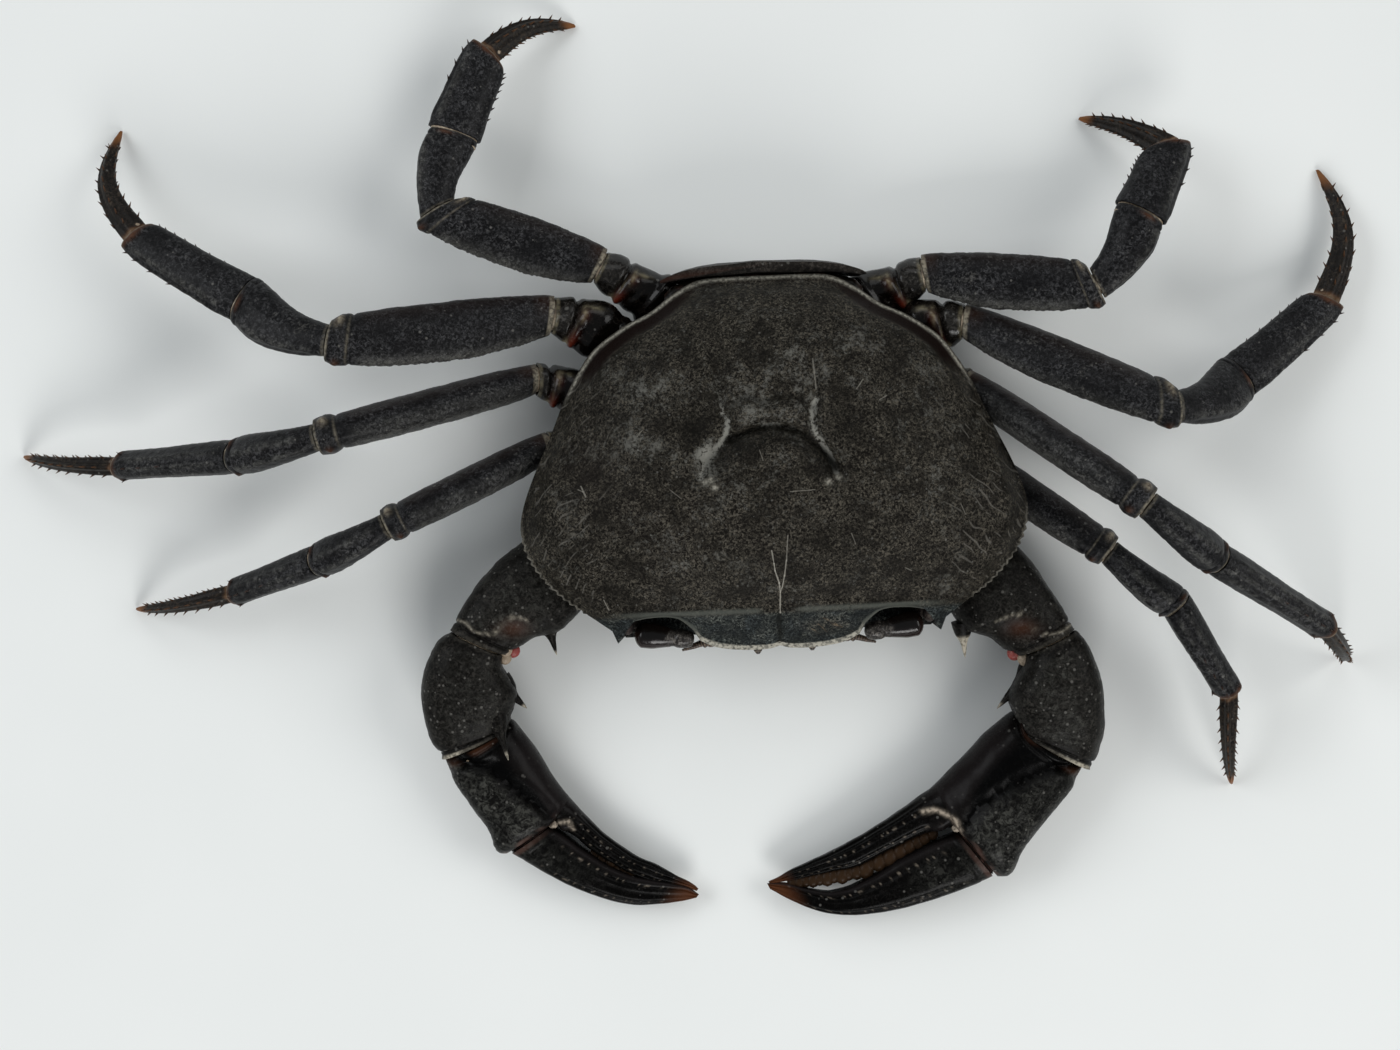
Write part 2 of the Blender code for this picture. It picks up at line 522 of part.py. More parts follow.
def make_sternum():
    """Breastplate: flat below, with a channel that holds the folded tail."""
    channel_end = TAIL_PATH[-1][0] - GAP
    stops = {y for y, _ in STERNUM} | {y for y, _, _ in TAIL_PATH[6:]} | {channel_end, channel_end - 0.3}
    rings = []
    for y in sorted(stops, reverse=True):
        half = interpolate(STERNUM, y)
        trough = interpolate([(p[0], p[2]) for p in TAIL_PATH[5:]], y) + GAP
        roof = 3.4 if y == STERNUM[0][0] else TAIL_THICK + 0.8 + GAP
        if y < channel_end - 0.1:
            trough = 0.9
            roof = 0.25
        right = [(trough - 0.25, roof), (trough, roof - 0.2), (trough, 0.0), (half - 1.6, 0.0),
                 (half, 1.6), (half, 7.6), (half - 1.5, STERNUM_TOP), (half * 0.4, STERNUM_TOP)]
        ring = [Vector((x, y, z)) for x, z in right] + [Vector((-x, y, z)) for x, z in reversed(right)]
        if y == STERNUM[-1][0]:
            slant = (MOUTH_HEAD.y - MOUTH_FOOT.y) / (MOUTH_HEAD.z - MOUTH_FOOT.z)
            ring = [Vector((p.x, p.y + (p.z - 1.2) * slant, p.z)) for p in ring]
        rings.append(ring)
    return finish(skin(rings), "sternum", (0.16, 0.125, 0.09), 0.5, angle=30)


def make_abdomen():
    """Tail: shows as a band behind the carapace, then folds forward under the belly."""
    rings = []
    for i, (y, z, half) in enumerate(TAIL_PATH):
        before = TAIL_PATH[max(i - 1, 0)]
        after = TAIL_PATH[min(i + 1, len(TAIL_PATH) - 1)]
        along = Vector((0, after[0] - before[0], after[1] - before[1])).normalized()
        out = Vector((1, 0, 0)).cross(along)
        thick = TAIL_THICK * (0.8 if i in (0, len(TAIL_PATH) - 1) else 1.0)
        ring = section(Vector((0, y, z)), Vector((1, 0, 0)), out, half, thick, 16,
                       power=2.5 if i < 4 else 3.6)
        bow = TAIL_BOW if i < 3 else 0.0
        rings.append([Vector((p.x, p.y - bow * (p.x / half) ** 2, max(p.z, FLOOR))) for p in ring])
    return finish(skin(rings), "abdomen", (0.035, 0.028, 0.024), 0.5)


def make_eye(side, mirror):
    """Eye: short stalk that widens into the rounded cornea, lying in its socket."""
    inner = Vector((EYE_INNER.x * mirror, EYE_INNER.y, EYE_INNER.z))
    outer = Vector((EYE_OUTER.x * mirror, EYE_OUTER.y, EYE_OUTER.z))
    along = (outer - inner).normalized()
    across = along.cross(Vector((0, 0, 1))).normalized()
    up = across.cross(along)
    rings = [section(inner.lerp(outer, share), across, up, radius, radius, 12, power=2.0)
             for share, radius in EYE_FORM]
    return finish(skin(rings), "eye_" + side, (0.012, 0.010, 0.010), 0.18)


def make_antenna(side, mirror):
    """Antenna: two stout base joints and a short tapering whip."""
    root = Vector((ANTENNA_ROOT.x * mirror, ANTENNA_ROOT.y, ANTENNA_ROOT.z))
    along = heading_vector(ANTENNA_HEADING)
    along.x *= mirror
    across = along.cross(Vector((0, 0, 1))).normalized()
    up = across.cross(along)
    rings = [section(root + along * distance, across, up, radius, radius, 10, power=2.0)
             for distance, radius in ANTENNA_FORM]
    return finish(skin(rings), "antenna_" + side, (0.07, 0.035, 0.022), 0.45)


def make_epistome():
    """Bar between the front and the mouth, with the two antennules."""
    rings = [section(Vector((x, -22.6 - 0.6 * (1 - abs(x) / 7), 11.6)), Vector((0, 1, 0)), Vector((0, 0, 1)),
                     half * 0.75, half, 12, power=2.6) for x, half in EPISTOME]
    antennules = [spine(Vector(root), Vector((0, -1, 0.3)), 3.4, 0.85) for root in ANTENNULE_ROOTS]
    return finish(skin(rings), "epistome", (0.045, 0.035, 0.03), 0.5, grown=antennules)


def make_maxilliped(side, mirror):
    """Outer mouthpart: a long plate and a shorter one above it that close the mouth."""
    along = MOUTH_HEAD - MOUTH_FOOT
    out = Vector((mirror, 0, 0)).cross(along.normalized()) * mirror
    rings = []
    for share, width in MOUTH_FORM:
        half = MOUTH_HALF * width
        centre = MOUTH_FOOT + along * share
        centre = centre + Vector((mirror * (half + GAP / 2), 0, 0))
        rings.append(section(centre, Vector((1, 0, 0)), out, half, 0.95 * (0.55 + 0.45 * width), 14, power=3.2))
    return finish(skin(rings), "maxilliped_" + side, (0.06, 0.045, 0.035), 0.45)


def make_base(name, limb, hip, next_direction, half_up, half_across, lean, mirror, colour):
    """First joints of a limb, from the side of the breastplate to the start of the merus."""
    (x, y), heading = SOCKET[limb]
    outward = heading_vector(heading)
    outward.x *= mirror
    start = Vector((x * mirror, y, SOCKET_HEIGHT)) + outward * GAP / 2
    reach = hip - start
    direction = reach.normalized()
    across, up = frame_of(direction, lean * 0.5, mirror)
    form = BASE_FORM + [(1, half_up * 0.66, half_across * 0.85)]
    stations = []
    for (share, tall, wide), swell in zip(form, BASE_SWELL.get(limb, (0,) * len(form))):
        centre = start + reach * share
        stations.append((reach.length * share, centre,
                         section(centre - across * swell, across, up, wide + swell, tall, LEG_SIDES)))
    rings = limb_rings(stations, (start, outward), joint_plane(hip, direction, next_direction),
                       direction, reach.length)
    finish(skin(rings), name, colour, 0.3)
    return direction


def leg_spines(piece, rings, direction, up):
    """Spines along the upper and lower edges of a leg piece, leaning toward its tip."""
    spines = []
    for row, way in zip(LEG_SPINES.get(piece, ()), (up, -up)):
        for share, length in row:
            place = share * (len(rings) - 1)
            ring = rings[round(place)]
            middle = sum(ring, Vector()) / len(ring)
            reach = max((p - middle).dot(way) for p in ring)
            root = middle + way * (reach * 0.8) + direction * ((place - round(place)) * 1.2)
            spines.append(spine(root, (way * 0.75 + direction).normalized(), length * 1.7, 0.36))
    return spines


def make_leg(side, number, mirror):
    """One walking leg: base, merus, carpus, propodus and dactylus, placed joint by joint."""
    lengths, half_up, half_across = LEG_SIZE[number]
    hip, turns, (last_heading, last_bow), leans = LEG_POSE[(side, number)]
    hip = Vector(hip)
    directions = [heading_vector(*turn) for turn in turns]
    joints = [hip]
    for length, direction in zip(lengths, directions):
        joints.append(joints[-1] + direction * length)
    fall = math.degrees(math.asin((TIP_HEIGHT - joints[-1].z) / lengths[3]))
    directions.append(heading_vector(last_heading, fall))
    joints.append(joints[-1] + directions[-1] * lengths[3])
    label = "leg_%s_%d_" % (side, number)
    before = make_base(label + "base", number, hip, directions[0],
                       half_up, half_across, leans[0], mirror, (0.075, 0.022, 0.014))
    for k, piece in enumerate(("merus", "carpus", "propodus", "dactylus")):
        direction = directions[k]
        length = lengths[k]
        across, up = frame_of(direction, leans[min(k, 1)], mirror)
        bow = LEG_BOW.get(piece, last_bow)
        spread = PADDLE_SPREAD if number == 4 and piece == "propodus" else 1.0
        stations = []
        for share, tall, wide in LEG_FORM[piece]:
            centre = joints[k] + direction * (length * share)
            centre += up * (bow * length * math.sin(math.pi * share))
            stations.append((length * share, centre,
                             section(centre, across, up, half_across * wide,
                                     half_up * tall * spread, LEG_SIDES, ridge=0.22)))
        start = joint_plane(joints[k], before, direction)
        end = joint_plane(joints[k + 1], direction, directions[k + 1]) if k < 3 else None
        rings = limb_rings(stations, start, end, direction, length)
        finish(skin(rings), label + piece, (0.030, 0.027, 0.025), 0.55,
               grown=leg_spines(piece, rings, direction, up))
        before = direction


def claw_stations(table, start, direction, away, sides, power, absolute):
    """Rings of a claw segment from a table of edges, middle heights and half-thicknesses."""
    stations = []
    for distance, inner_edge, outer_edge, height, half in table:
        centre = start + direction * distance
        if absolute:
            centre.z = height
        else:
            centre.z += height
        axis = centre.copy()
        centre = centre + away * (inner_edge + outer_edge) / 2
        ring = section(centre, away, Vector((0, 0, 1)), (outer_edge - inner_edge) / 2, half, sides, power)
        stations.append((distance, axis, ring))
    return stations


def teeth(row, table, wrist, hand, away, column, way):
    """Blunt teeth along the cutting edge of a finger."""
    out = []
    for distance, length in row:
        edge = interpolate([(r[0], r[column]) for r in table if r[0] > 16], distance)
        height = interpolate([(r[0], r[3]) for r in table if r[0] > 16], distance)
        root = wrist + hand * distance + away * (edge - 0.5 * way)
        root.z = height
        out.append(spine(root, away * way, length + 1.0, 0.75 * length + 0.25))
    return out


def make_claw(side, mirror):
    """Claw limb: base, merus, carpus, palm with its fixed finger, and the movable finger."""
    size = CLAW_SIZE[side]
    start = Vector(size["start"])
    elbow = Vector(size["merus"][0])
    wrist = Vector(size["carpus"][0])
    tip = Vector((*size["palm"][0], wrist.z))
    arm = (elbow - start).normalized()
    fore = (wrist - elbow).normalized()
    hand = (tip - wrist).normalized()
    label = "claw_%s_" % side
    before = make_base(label + "base", "claw", start, arm, 5.0, 4.4, 0, mirror, (0.06, 0.03, 0.022))
    bends = (joint_plane(start, before, arm), joint_plane(elbow, arm, fore), joint_plane(wrist, fore, hand))
    for piece, begin, direction, end_point, planes in (
            ("merus", start, arm, elbow, (bends[0], bends[1])),
            ("carpus", elbow, fore, wrist, (bends[1], bends[2]))):
        flat = Vector((direction.x, direction.y, 0)).normalized()
        away = Vector((flat.y, -flat.x, 0)) * -mirror
        stations = claw_stations(size[piece][1], begin, direction, away, CLAW_SIDES, 2.4, False)
        rings = limb_rings(stations, *planes, direction, (end_point - begin).length)
        spines = []
        for distance, place, height, turn, rise, length, radius in CLAW_SPINES[(side, piece)]:
            root = begin + direction * distance + away * place + Vector((0, 0, height))
            angle = math.radians(turn)
            way = direction * math.cos(angle) - away * math.sin(angle)
            way.z = math.tan(math.radians(rise))
            spines.append(spine(root, way.normalized(), length, radius))
        finish(skin(rings), label + piece, (0.034, 0.030, 0.027), 0.6, grown=spines)
    away = Vector((hand.y, -hand.x, 0)) * -mirror
    table = size["palm"][1]
    stations = claw_stations(table, wrist, hand, away, CLAW_SIDES, 2.4, True)
    finger_reach = size["finger"][0][0]
    rings = limb_rings(stations, bends[2], None, hand, finger_reach)
    lower, upper = CLAW_TEETH[side]
    finish(skin(rings), label + "palm", (0.026, 0.022, 0.020), 0.35,
           grown=teeth(lower, table, wrist, hand, away, 2, 1))
    stations = claw_stations(size["finger"], wrist, hand, away, CLAW_SIDES, 2.4, True)
    rings = [[Vector((p.x, p.y, max(p.z, FLOOR))) for p in ring] for _, _, ring in stations]
    finish(skin(rings), label + "finger", (0.022, 0.017, 0.016), 0.32,
           grown=teeth(upper, size["finger"], wrist, hand, away, 1, -1))


def main():
    clear_scene()
    make_carapace()
    make_sternum()
    make_abdomen()
    make_epistome()
    for side, mirror in (("left", 1), ("right", -1)):
        make_eye(side, mirror)
        make_antenna(side, mirror)
        make_maxilliped(side, mirror)
        make_claw(side, mirror)
        for number in (1, 2, 3, 4):
            make_leg(side, number, mirror)


main()
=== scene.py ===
"""Looks of the river crab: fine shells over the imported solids, their finishes, floor, light and camera.

Tables are in millimetres and degrees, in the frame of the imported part: +X is the crab's own
left, it faces -Y, and the floor is at Z = 0.
"""

import json
import math
import random
from collections import namedtuple
from functools import partial

import bmesh
import bpy
import numpy as np
from mathutils import Matrix, Vector, noise

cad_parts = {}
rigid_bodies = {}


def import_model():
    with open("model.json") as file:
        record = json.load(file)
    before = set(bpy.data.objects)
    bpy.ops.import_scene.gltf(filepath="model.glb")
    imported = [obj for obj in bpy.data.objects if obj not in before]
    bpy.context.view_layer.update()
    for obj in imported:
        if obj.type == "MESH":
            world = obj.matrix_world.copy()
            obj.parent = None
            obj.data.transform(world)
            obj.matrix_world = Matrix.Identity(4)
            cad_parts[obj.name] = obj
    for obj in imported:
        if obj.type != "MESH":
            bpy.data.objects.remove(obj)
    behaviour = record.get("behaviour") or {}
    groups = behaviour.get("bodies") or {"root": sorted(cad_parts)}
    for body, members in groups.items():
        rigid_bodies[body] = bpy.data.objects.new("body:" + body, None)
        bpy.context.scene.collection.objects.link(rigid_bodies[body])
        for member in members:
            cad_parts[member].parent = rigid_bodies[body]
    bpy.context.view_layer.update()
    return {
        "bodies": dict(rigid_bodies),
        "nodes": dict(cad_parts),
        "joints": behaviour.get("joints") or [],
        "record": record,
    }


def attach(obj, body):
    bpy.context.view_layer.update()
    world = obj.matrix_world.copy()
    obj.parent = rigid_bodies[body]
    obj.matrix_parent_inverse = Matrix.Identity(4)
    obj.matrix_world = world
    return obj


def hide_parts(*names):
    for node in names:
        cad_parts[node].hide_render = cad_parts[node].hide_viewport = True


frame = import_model()

# Metres in a millimetre, the way up, half the gap at a joint, how deep an open end turns in, the seed
# of the random draws and the scale of the dry film.
MM = 0.001
UP = np.array([0, 0, 1.0])
JOINT_GAP = 0.16
LIP = 0.55
SEED = 11
FILM_SCALE = 2300.0

# Carapace outline of the left half, rear to front, with heights above the floor.
REAR_EDGE = [(0.0, 24.7, 13.3), (5.0, 24.7, 13.2), (9.0, 24.4, 13.0), (12.4, 22.7, 12.8)]
REAR_SIDE = [(15.5, 20.5, 12.6), (19.0, 18.8, 12.5), (23.0, 16.0, 12.6), (25.3, 13.0, 12.8)]
MIDDLE_SIDE = [(27.2, 9.6, 13.2), (29.4, 4.4, 13.7), (31.9, -1.0, 14.0), (33.4, -5.0, 14.1)]
FRONT_SIDE = [(33.9, -8.0, 14.1), (33.4, -10.8, 14.2), (31.6, -14.1, 14.3), (28.6, -17.3, 14.6)]
CHEEK_TOOTH = [(25.4, -19.6, 15.0), (24.4, -20.3, 15.1), (23.3, -21.1, 15.1)]
ORBIT_TOOTH = [(22.2, -21.9, 15.2), (21.5, -23.6, 15.0), (20.9, -21.9, 15.5)]
SOCKET_WALL = [((20.2, -21.4, 13.4), (0.9, 1.15, 1.9)), ((19.6, -20.9, 12.4), (1.2, 1.0, 1.3))]
ORBIT_EDGE = [(19.4, -20.7, 16.4), (17.0, -20.3, 16.9), (13.6, -20.5, 16.8), (11.4, -22.2, 16.2)]
FRONT_EDGE = [(10.6, -23.6, 15.8), (8.4, -24.6, 15.6), (5.0, -25.1, 15.5), (1.6, -25.1, 15.4),
              (0.0, -24.7, 15.5)]
ORBIT_REACH = (10.9, 21.3)
SHELL_CENTRE = np.array([0.0, -3.0, 0.0])
CREST_Y = -19.9
CREST_HALF = 27.0
FRONT_SLOPE = 0.90
LOWER_FRONT = -22.7
SOCKET_FRONT = -23.7
ORBIT_FLOOR = 12.1
# Steps of the flank that pass through an eye socket, and their heights above its floor.
SOCKET_STEPS = {1: 0.3, 2: 0.0, 3: -0.9}
SHELL_BOTTOM = 9.4
# Along the body: height of the shield's widest edge, then how far its middle stands above that.
EDGE_LINE = [(-20, 14.8), (-8, 14.1), (14, 12.8), (24.7, 13.3)]
SPINE_LINE = [(-20, 5.5), (-15, 8.3), (-10, 10.2), (-4, 11.5), (2, 12.0), (8, 11.6),
              (14, 9.9), (18, 7.6), (21, 4.9), (23, 2.7), (24.7, 0.3)]
# Each step of the flank below the edge: share of the way out from the centre, and of the drop.
FLANK = [(0.99, 0.16), (0.975, 0.38), (0.965, 0.5), (0.945, 0.6), (0.88, 0.72), (0.72, 0.87), (0.55, 1.0)]
FLANK_RINGS = 34
CHEEK_RINGS = 26
CHEEK = [(11.2, 12.6, -16.6, 3.8, 2.9), (9.2, 12.4, -16.4, 3.6, 2.8), (7.4, 11.9, -16.1, 2.6, 2.2),
         (5.6, 11.5, -15.6, 2.05, 1.7), (4.2, 11.1, -15.2, 1.5, 1.2), (3.8, 11.0, -15.1, 1.0, 0.8)]

# Grooves of the back: route, depth and half-width.
GROOVES = [
    ([(-6.7, 11.2), (-6.5, 8.9), (-6.5, 6.1), (-5.8, 5.0), (-6.0, 3.5), (-7.2, 1.7), (-8.8, 0.0),
      (-9.7, -2.3)], 1.0, 0.75),
    ([(5.5, 12.7), (6.0, 10.3), (5.8, 7.3), (5.1, 6.2), (5.1, 4.0), (5.7, 2.5), (7.0, 0.3), (8.0, -2.3)],
     0.9, 0.62),
    ([(-5.9, 5.8), (-4.9, 7.2), (-3.4, 7.8), (-1.1, 7.1), (0.9, 7.7), (3.0, 7.5), (4.9, 6.4)], 0.45, 0.40),
    ([(-5.6, 2.6), (-2.4, 3.9), (-0.4, 4.2), (1.6, 3.9), (3.6, 3.2), (5.1, 1.8), (6.8, 0.2), (8.0, -1.6)],
     1.25, 0.52),
    ([(-0.1, -19.4), (-0.2, -22.0), (0.0, -24.9)], 0.50, 0.55),
    ([(-7.6, -0.4), (-5.6, 1.5), (-2.4, 2.7), (-0.4, 3.0), (1.6, 2.7), (3.6, 2.0), (5.1, 0.7), (7.0, -1.4)],
     0.65, 1.35),
    ([(-6.3, 4.6), (-7.4, 1.6), (-8.9, 0.0)], 0.35, 1.6),
    ([(5.3, 5.0), (6.2, 1.8), (7.6, -0.6)], 0.30, 1.3),
]
# Line of painted shade down the median notch of the front.
NOTCH_SHADE_LINE = [(-0.1, -20.6), (0.0, -24.6)]
# Fine pale scratches of the back: start, end, half-width and strength.
SCRATCHES = [((0.05, -20.2), (0.1, -17.5), 0.11, 0.95), ((0.1, -17.5), (0.0, -16.2), 0.11, 0.9),
             ((0.0, -16.3), (-0.5, -14.6), 0.11, 0.85), ((-0.5, -14.7), (-0.6, -13.6), 0.10, 0.85),
             ((-0.6, -13.7), (-0.85, -12.0), 0.10, 0.7), ((0.1, -17.5), (0.35, -16.8), 0.10, 0.8),
             ((0.35, -16.9), (0.7, -15.3), 0.10, 0.8), ((0.7, -15.4), (1.0, -13.3), 0.10, 0.65),
             ((1.0, -13.4), (1.3, -10.1), 0.09, 0.45), ((5.6, 12.6), (5.8, 8.6), 0.13, 0.5),
             ((1.8, -4.5), (5.0, -4.4), 0.06, 0.5), ((-25.2, -2.6), (-24.6, -4.0), 0.12, 0.7),
             ((-25.6, -3.0), (-25.0, -3.3), 0.08, 0.6), ((-23.0, -17.6), (-22.4, -19.0), 0.07, 0.6),
             ((24.0, -7.0), (24.6, -8.4), 0.07, 0.4), ((11.0, 8.4), (11.9, 9.6), 0.08, 0.5),
             ((13.8, 6.8), (14.9, 7.4), 0.07, 0.5), ((-17.6, 3.4), (-16.8, 4.3), 0.07, 0.4),
             ((9.5, -10.2), (10.0, -11.6), 0.06, 0.4), ((-1.9, 1.0), (-1.5, -0.4), 0.06, 0.4),
             ((16.5, -15.0), (17.3, -15.4), 0.07, 0.4), ((-13.6, -3.6), (-12.2, -4.8), 0.06, 0.4)]
# Swellings and hollows of the back, then patches of dust: place, half-sizes and amount.
SWELLINGS = [(-2.9, 5.9, 1.9, 1.3, 0.85), (1.9, 6.0, 1.9, 1.3, 0.80), (-9.9, 4.4, 2.4, 2.7, -0.75),
             (8.9, 4.1, 2.2, 2.6, -0.60), (-11.5, 12.5, 3.6, 3.4, 0.25), (11.5, 12.0, 3.6, 3.4, 0.25),
             (0.0, 13.5, 4.5, 3.0, 0.20), (-14.0, -12.0, 4.0, 4.0, 0.20), (13.5, -12.5, 4.2, 4.0, 0.20),
             (-4.2, -17.0, 3.6, 1.6, 0.18), (4.2, -17.0, 3.6, 1.6, 0.18)]
DUST = [(-8.6, 0.6, 1.9, 2.6, 1.0), (-5.9, 4.5, 0.9, 2.2, 0.9), (5.3, 5.5, 0.7, 2.6, 0.85),
        (-0.6, 4.3, 1.8, 0.3, 0.9), (3.9, 12.5, 2.4, 3.5, 0.55), (-17.0, 9.0, 3.5, 3.0, 0.45),
        (-17.5, 2.5, 3.0, 2.5, 0.45), (-12.5, -14.0, 2.0, 2.5, 0.45), (20.5, -3.5, 2.2, 5.0, 0.40),
        (-14.5, -5.0, 1.5, 1.5, 0.35),
        (18.0, 8.0, 3.0, 3.0, 0.35), (-24.0, 11.0, 3.0, 3.0, 0.35), (10.5, -16.0, 2.0, 1.5, 0.35)]
PITS = [(-9.1, -2.9), (-8.3, -2.6), (-7.8, -3.6), (6.8, -3.5), (8.1, -2.9)]

# Underside: half-widths of the breastplate along Y, and the folded tail as (y, z, half-width).
STERNUM = [(21.5, 8.5), (17.25, 14.0), (10.65, 16.0), (3.3, 16.1), (-4.4, 14.8), (-8.3, 12.3),
           (-11.3, 10.2), (-12.6, 8.6)]
STERNUM_TOP = 9.1
CHANNEL_GAP = 0.3
SUTURES = (-7.4, -3.9, 3.1, 10.4, 16.4)
TAIL_PATH = [(25.8, 12.3, 13.9), (26.0, 10.4, 13.0), (25.3, 7.4, 11.0), (23.9, 4.2, 8.2),
             (21.9, 1.9, 6.6), (19.4, 0.9, 6.4), (15.0, 0.8, 6.6), (10.0, 0.8, 6.1),
             (5.0, 0.8, 5.4), (0.0, 0.8, 4.4), (-4.5, 0.8, 3.2), (-7.6, 0.8, 1.5)]
TAIL_THICK = 0.9
TAIL_BOW = 1.3
TAIL_BAR_HALF = 13.4
TAIL_BAR_Y = 24.3
TAIL_BAR_HEIGHT = 10.4
TAIL_SEAMS = (0.055, 0.14, 0.27, 0.42, 0.56, 0.70, 0.86)

# Walking legs: sockets, sizes, pose and sections, as in the part.
SOCKET = {"claw": ((12.5, -8.1), -35), 1: ((15.45, -0.5), -10), 2: ((16.05, 7.0), 0),
          3: ((15.0, 14.0), 15), 4: ((11.3, 19.6), 50)}
SOCKET_HEIGHT = 5.0
BASE_FORM = [(0, 2.9, 3.1), (0.16, 3.05, 3.4), (0.38, 2.95, 3.3), (0.46, 2.5, 2.5),
             (0.58, 2.75, 2.75), (0.85, 2.85, 2.65)]
# Distance of the joint of each limb root from the hip.
ROOT_JOINT = {"claw": 3.2, 1: 2.0, 2: 2.0, 3: 2.9, 4: 3.7}
BASE_SWELL = {3: (0, 0.1, 0.6, 1.0, 1.1, 0.5, 0), 4: (0, 0.25, 0.7, 0.6, 0.3, 0.1, 0)}
LEG_SIZE = {
    1: ((24.6, 11.6, 14.0, 16.4), 3.6, 2.4),
    2: ((30.8, 12.8, 18.4, 16.6), 3.85, 2.5),
    3: ((30.7, 14.5, 17.9, 18.9), 4.1, 2.4),
    4: ((23.3, 10.9, 12.4, 14.0), 3.9, 2.3),
}
LEG_POSE = {
    ("left", 1): ((26.0, 0.6, 6.3), ((-38, 9.5), (-41, 2), (-60, -6)), (-82, 0.11), (30, 24)),
    ("left", 2): ((27.3, 9.2, 8.2), ((-40, 29), (-38, -18), (-33, -14)), (-40, 0.11), (10, 10)),
    ("left", 3): ((27.3, 17.8, 8.2), ((-27, 17), (21, -39), (37, -14)), (88, 0.15), (50, 68)),
    ("left", 4): ((22.0, 24.6, 8.2), ((-7, 8), (57, 10), (61, -28)), (151, 0.05), (78, 78)),
    ("right", 1): ((-30.2, 3.3, 8.2), ((-155, 17), (-157, -20), (-163, -20)), (-173, 0.11), (14, 14)),
    ("right", 2): ((-31.4, 12.5, 8.4), ((-166, 18), (-171, -21), (-179, -20)), (172, 0.11), (14, 14)),
    ("right", 3): ((-28.8, 21.1, 8.4), ((-174, 18), (151, -21), (147, -10)), (104, 0.15), (76, 76)),
    ("right", 4): ((-22.0, 27.5, 8.2), ((159, 4), (76, -8), (66, -9)), (22, 0.11), (80, 80)),
}
LEG_FORM = {
    "merus": [(0, 0.66, 0.80), (0.06, 0.75, 0.88), (0.2, 0.88, 0.97), (0.42, 1, 1),
              (0.66, 0.98, 1), (0.86, 0.88, 0.95), (0.905, 0.84, 0.92), (0.95, 0.84, 1.06),
              (1, 0.66, 0.98)],
    "carpus": [(0, 0.50, 0.74), (0.15, 0.58, 0.80), (0.45, 0.74, 0.93), (0.8, 0.88, 1.04),
               (0.94, 0.88, 1.0), (1, 0.84, 0.93)],
    "propodus": [(0, 0.82, 0.9), (0.08, 0.82, 0.92), (0.35, 0.77, 0.88), (0.7, 0.74, 0.80),
                 (0.93, 0.68, 0.80), (1, 0.60, 0.72)],
    "dactylus": [(0, 0.40, 0.48), (0.1, 0.41, 0.50), (0.35, 0.36, 0.43), (0.6, 0.28, 0.34),
                 (0.8, 0.20, 0.25), (0.93, 0.12, 0.16), (1, 0.05, 0.07)],
}
LEG_BOW = {"merus": 0.018, "carpus": 0.085, "propodus": 0.012}
PADDLE_SPREAD = 1.16
TIP_HEIGHT = 0.35

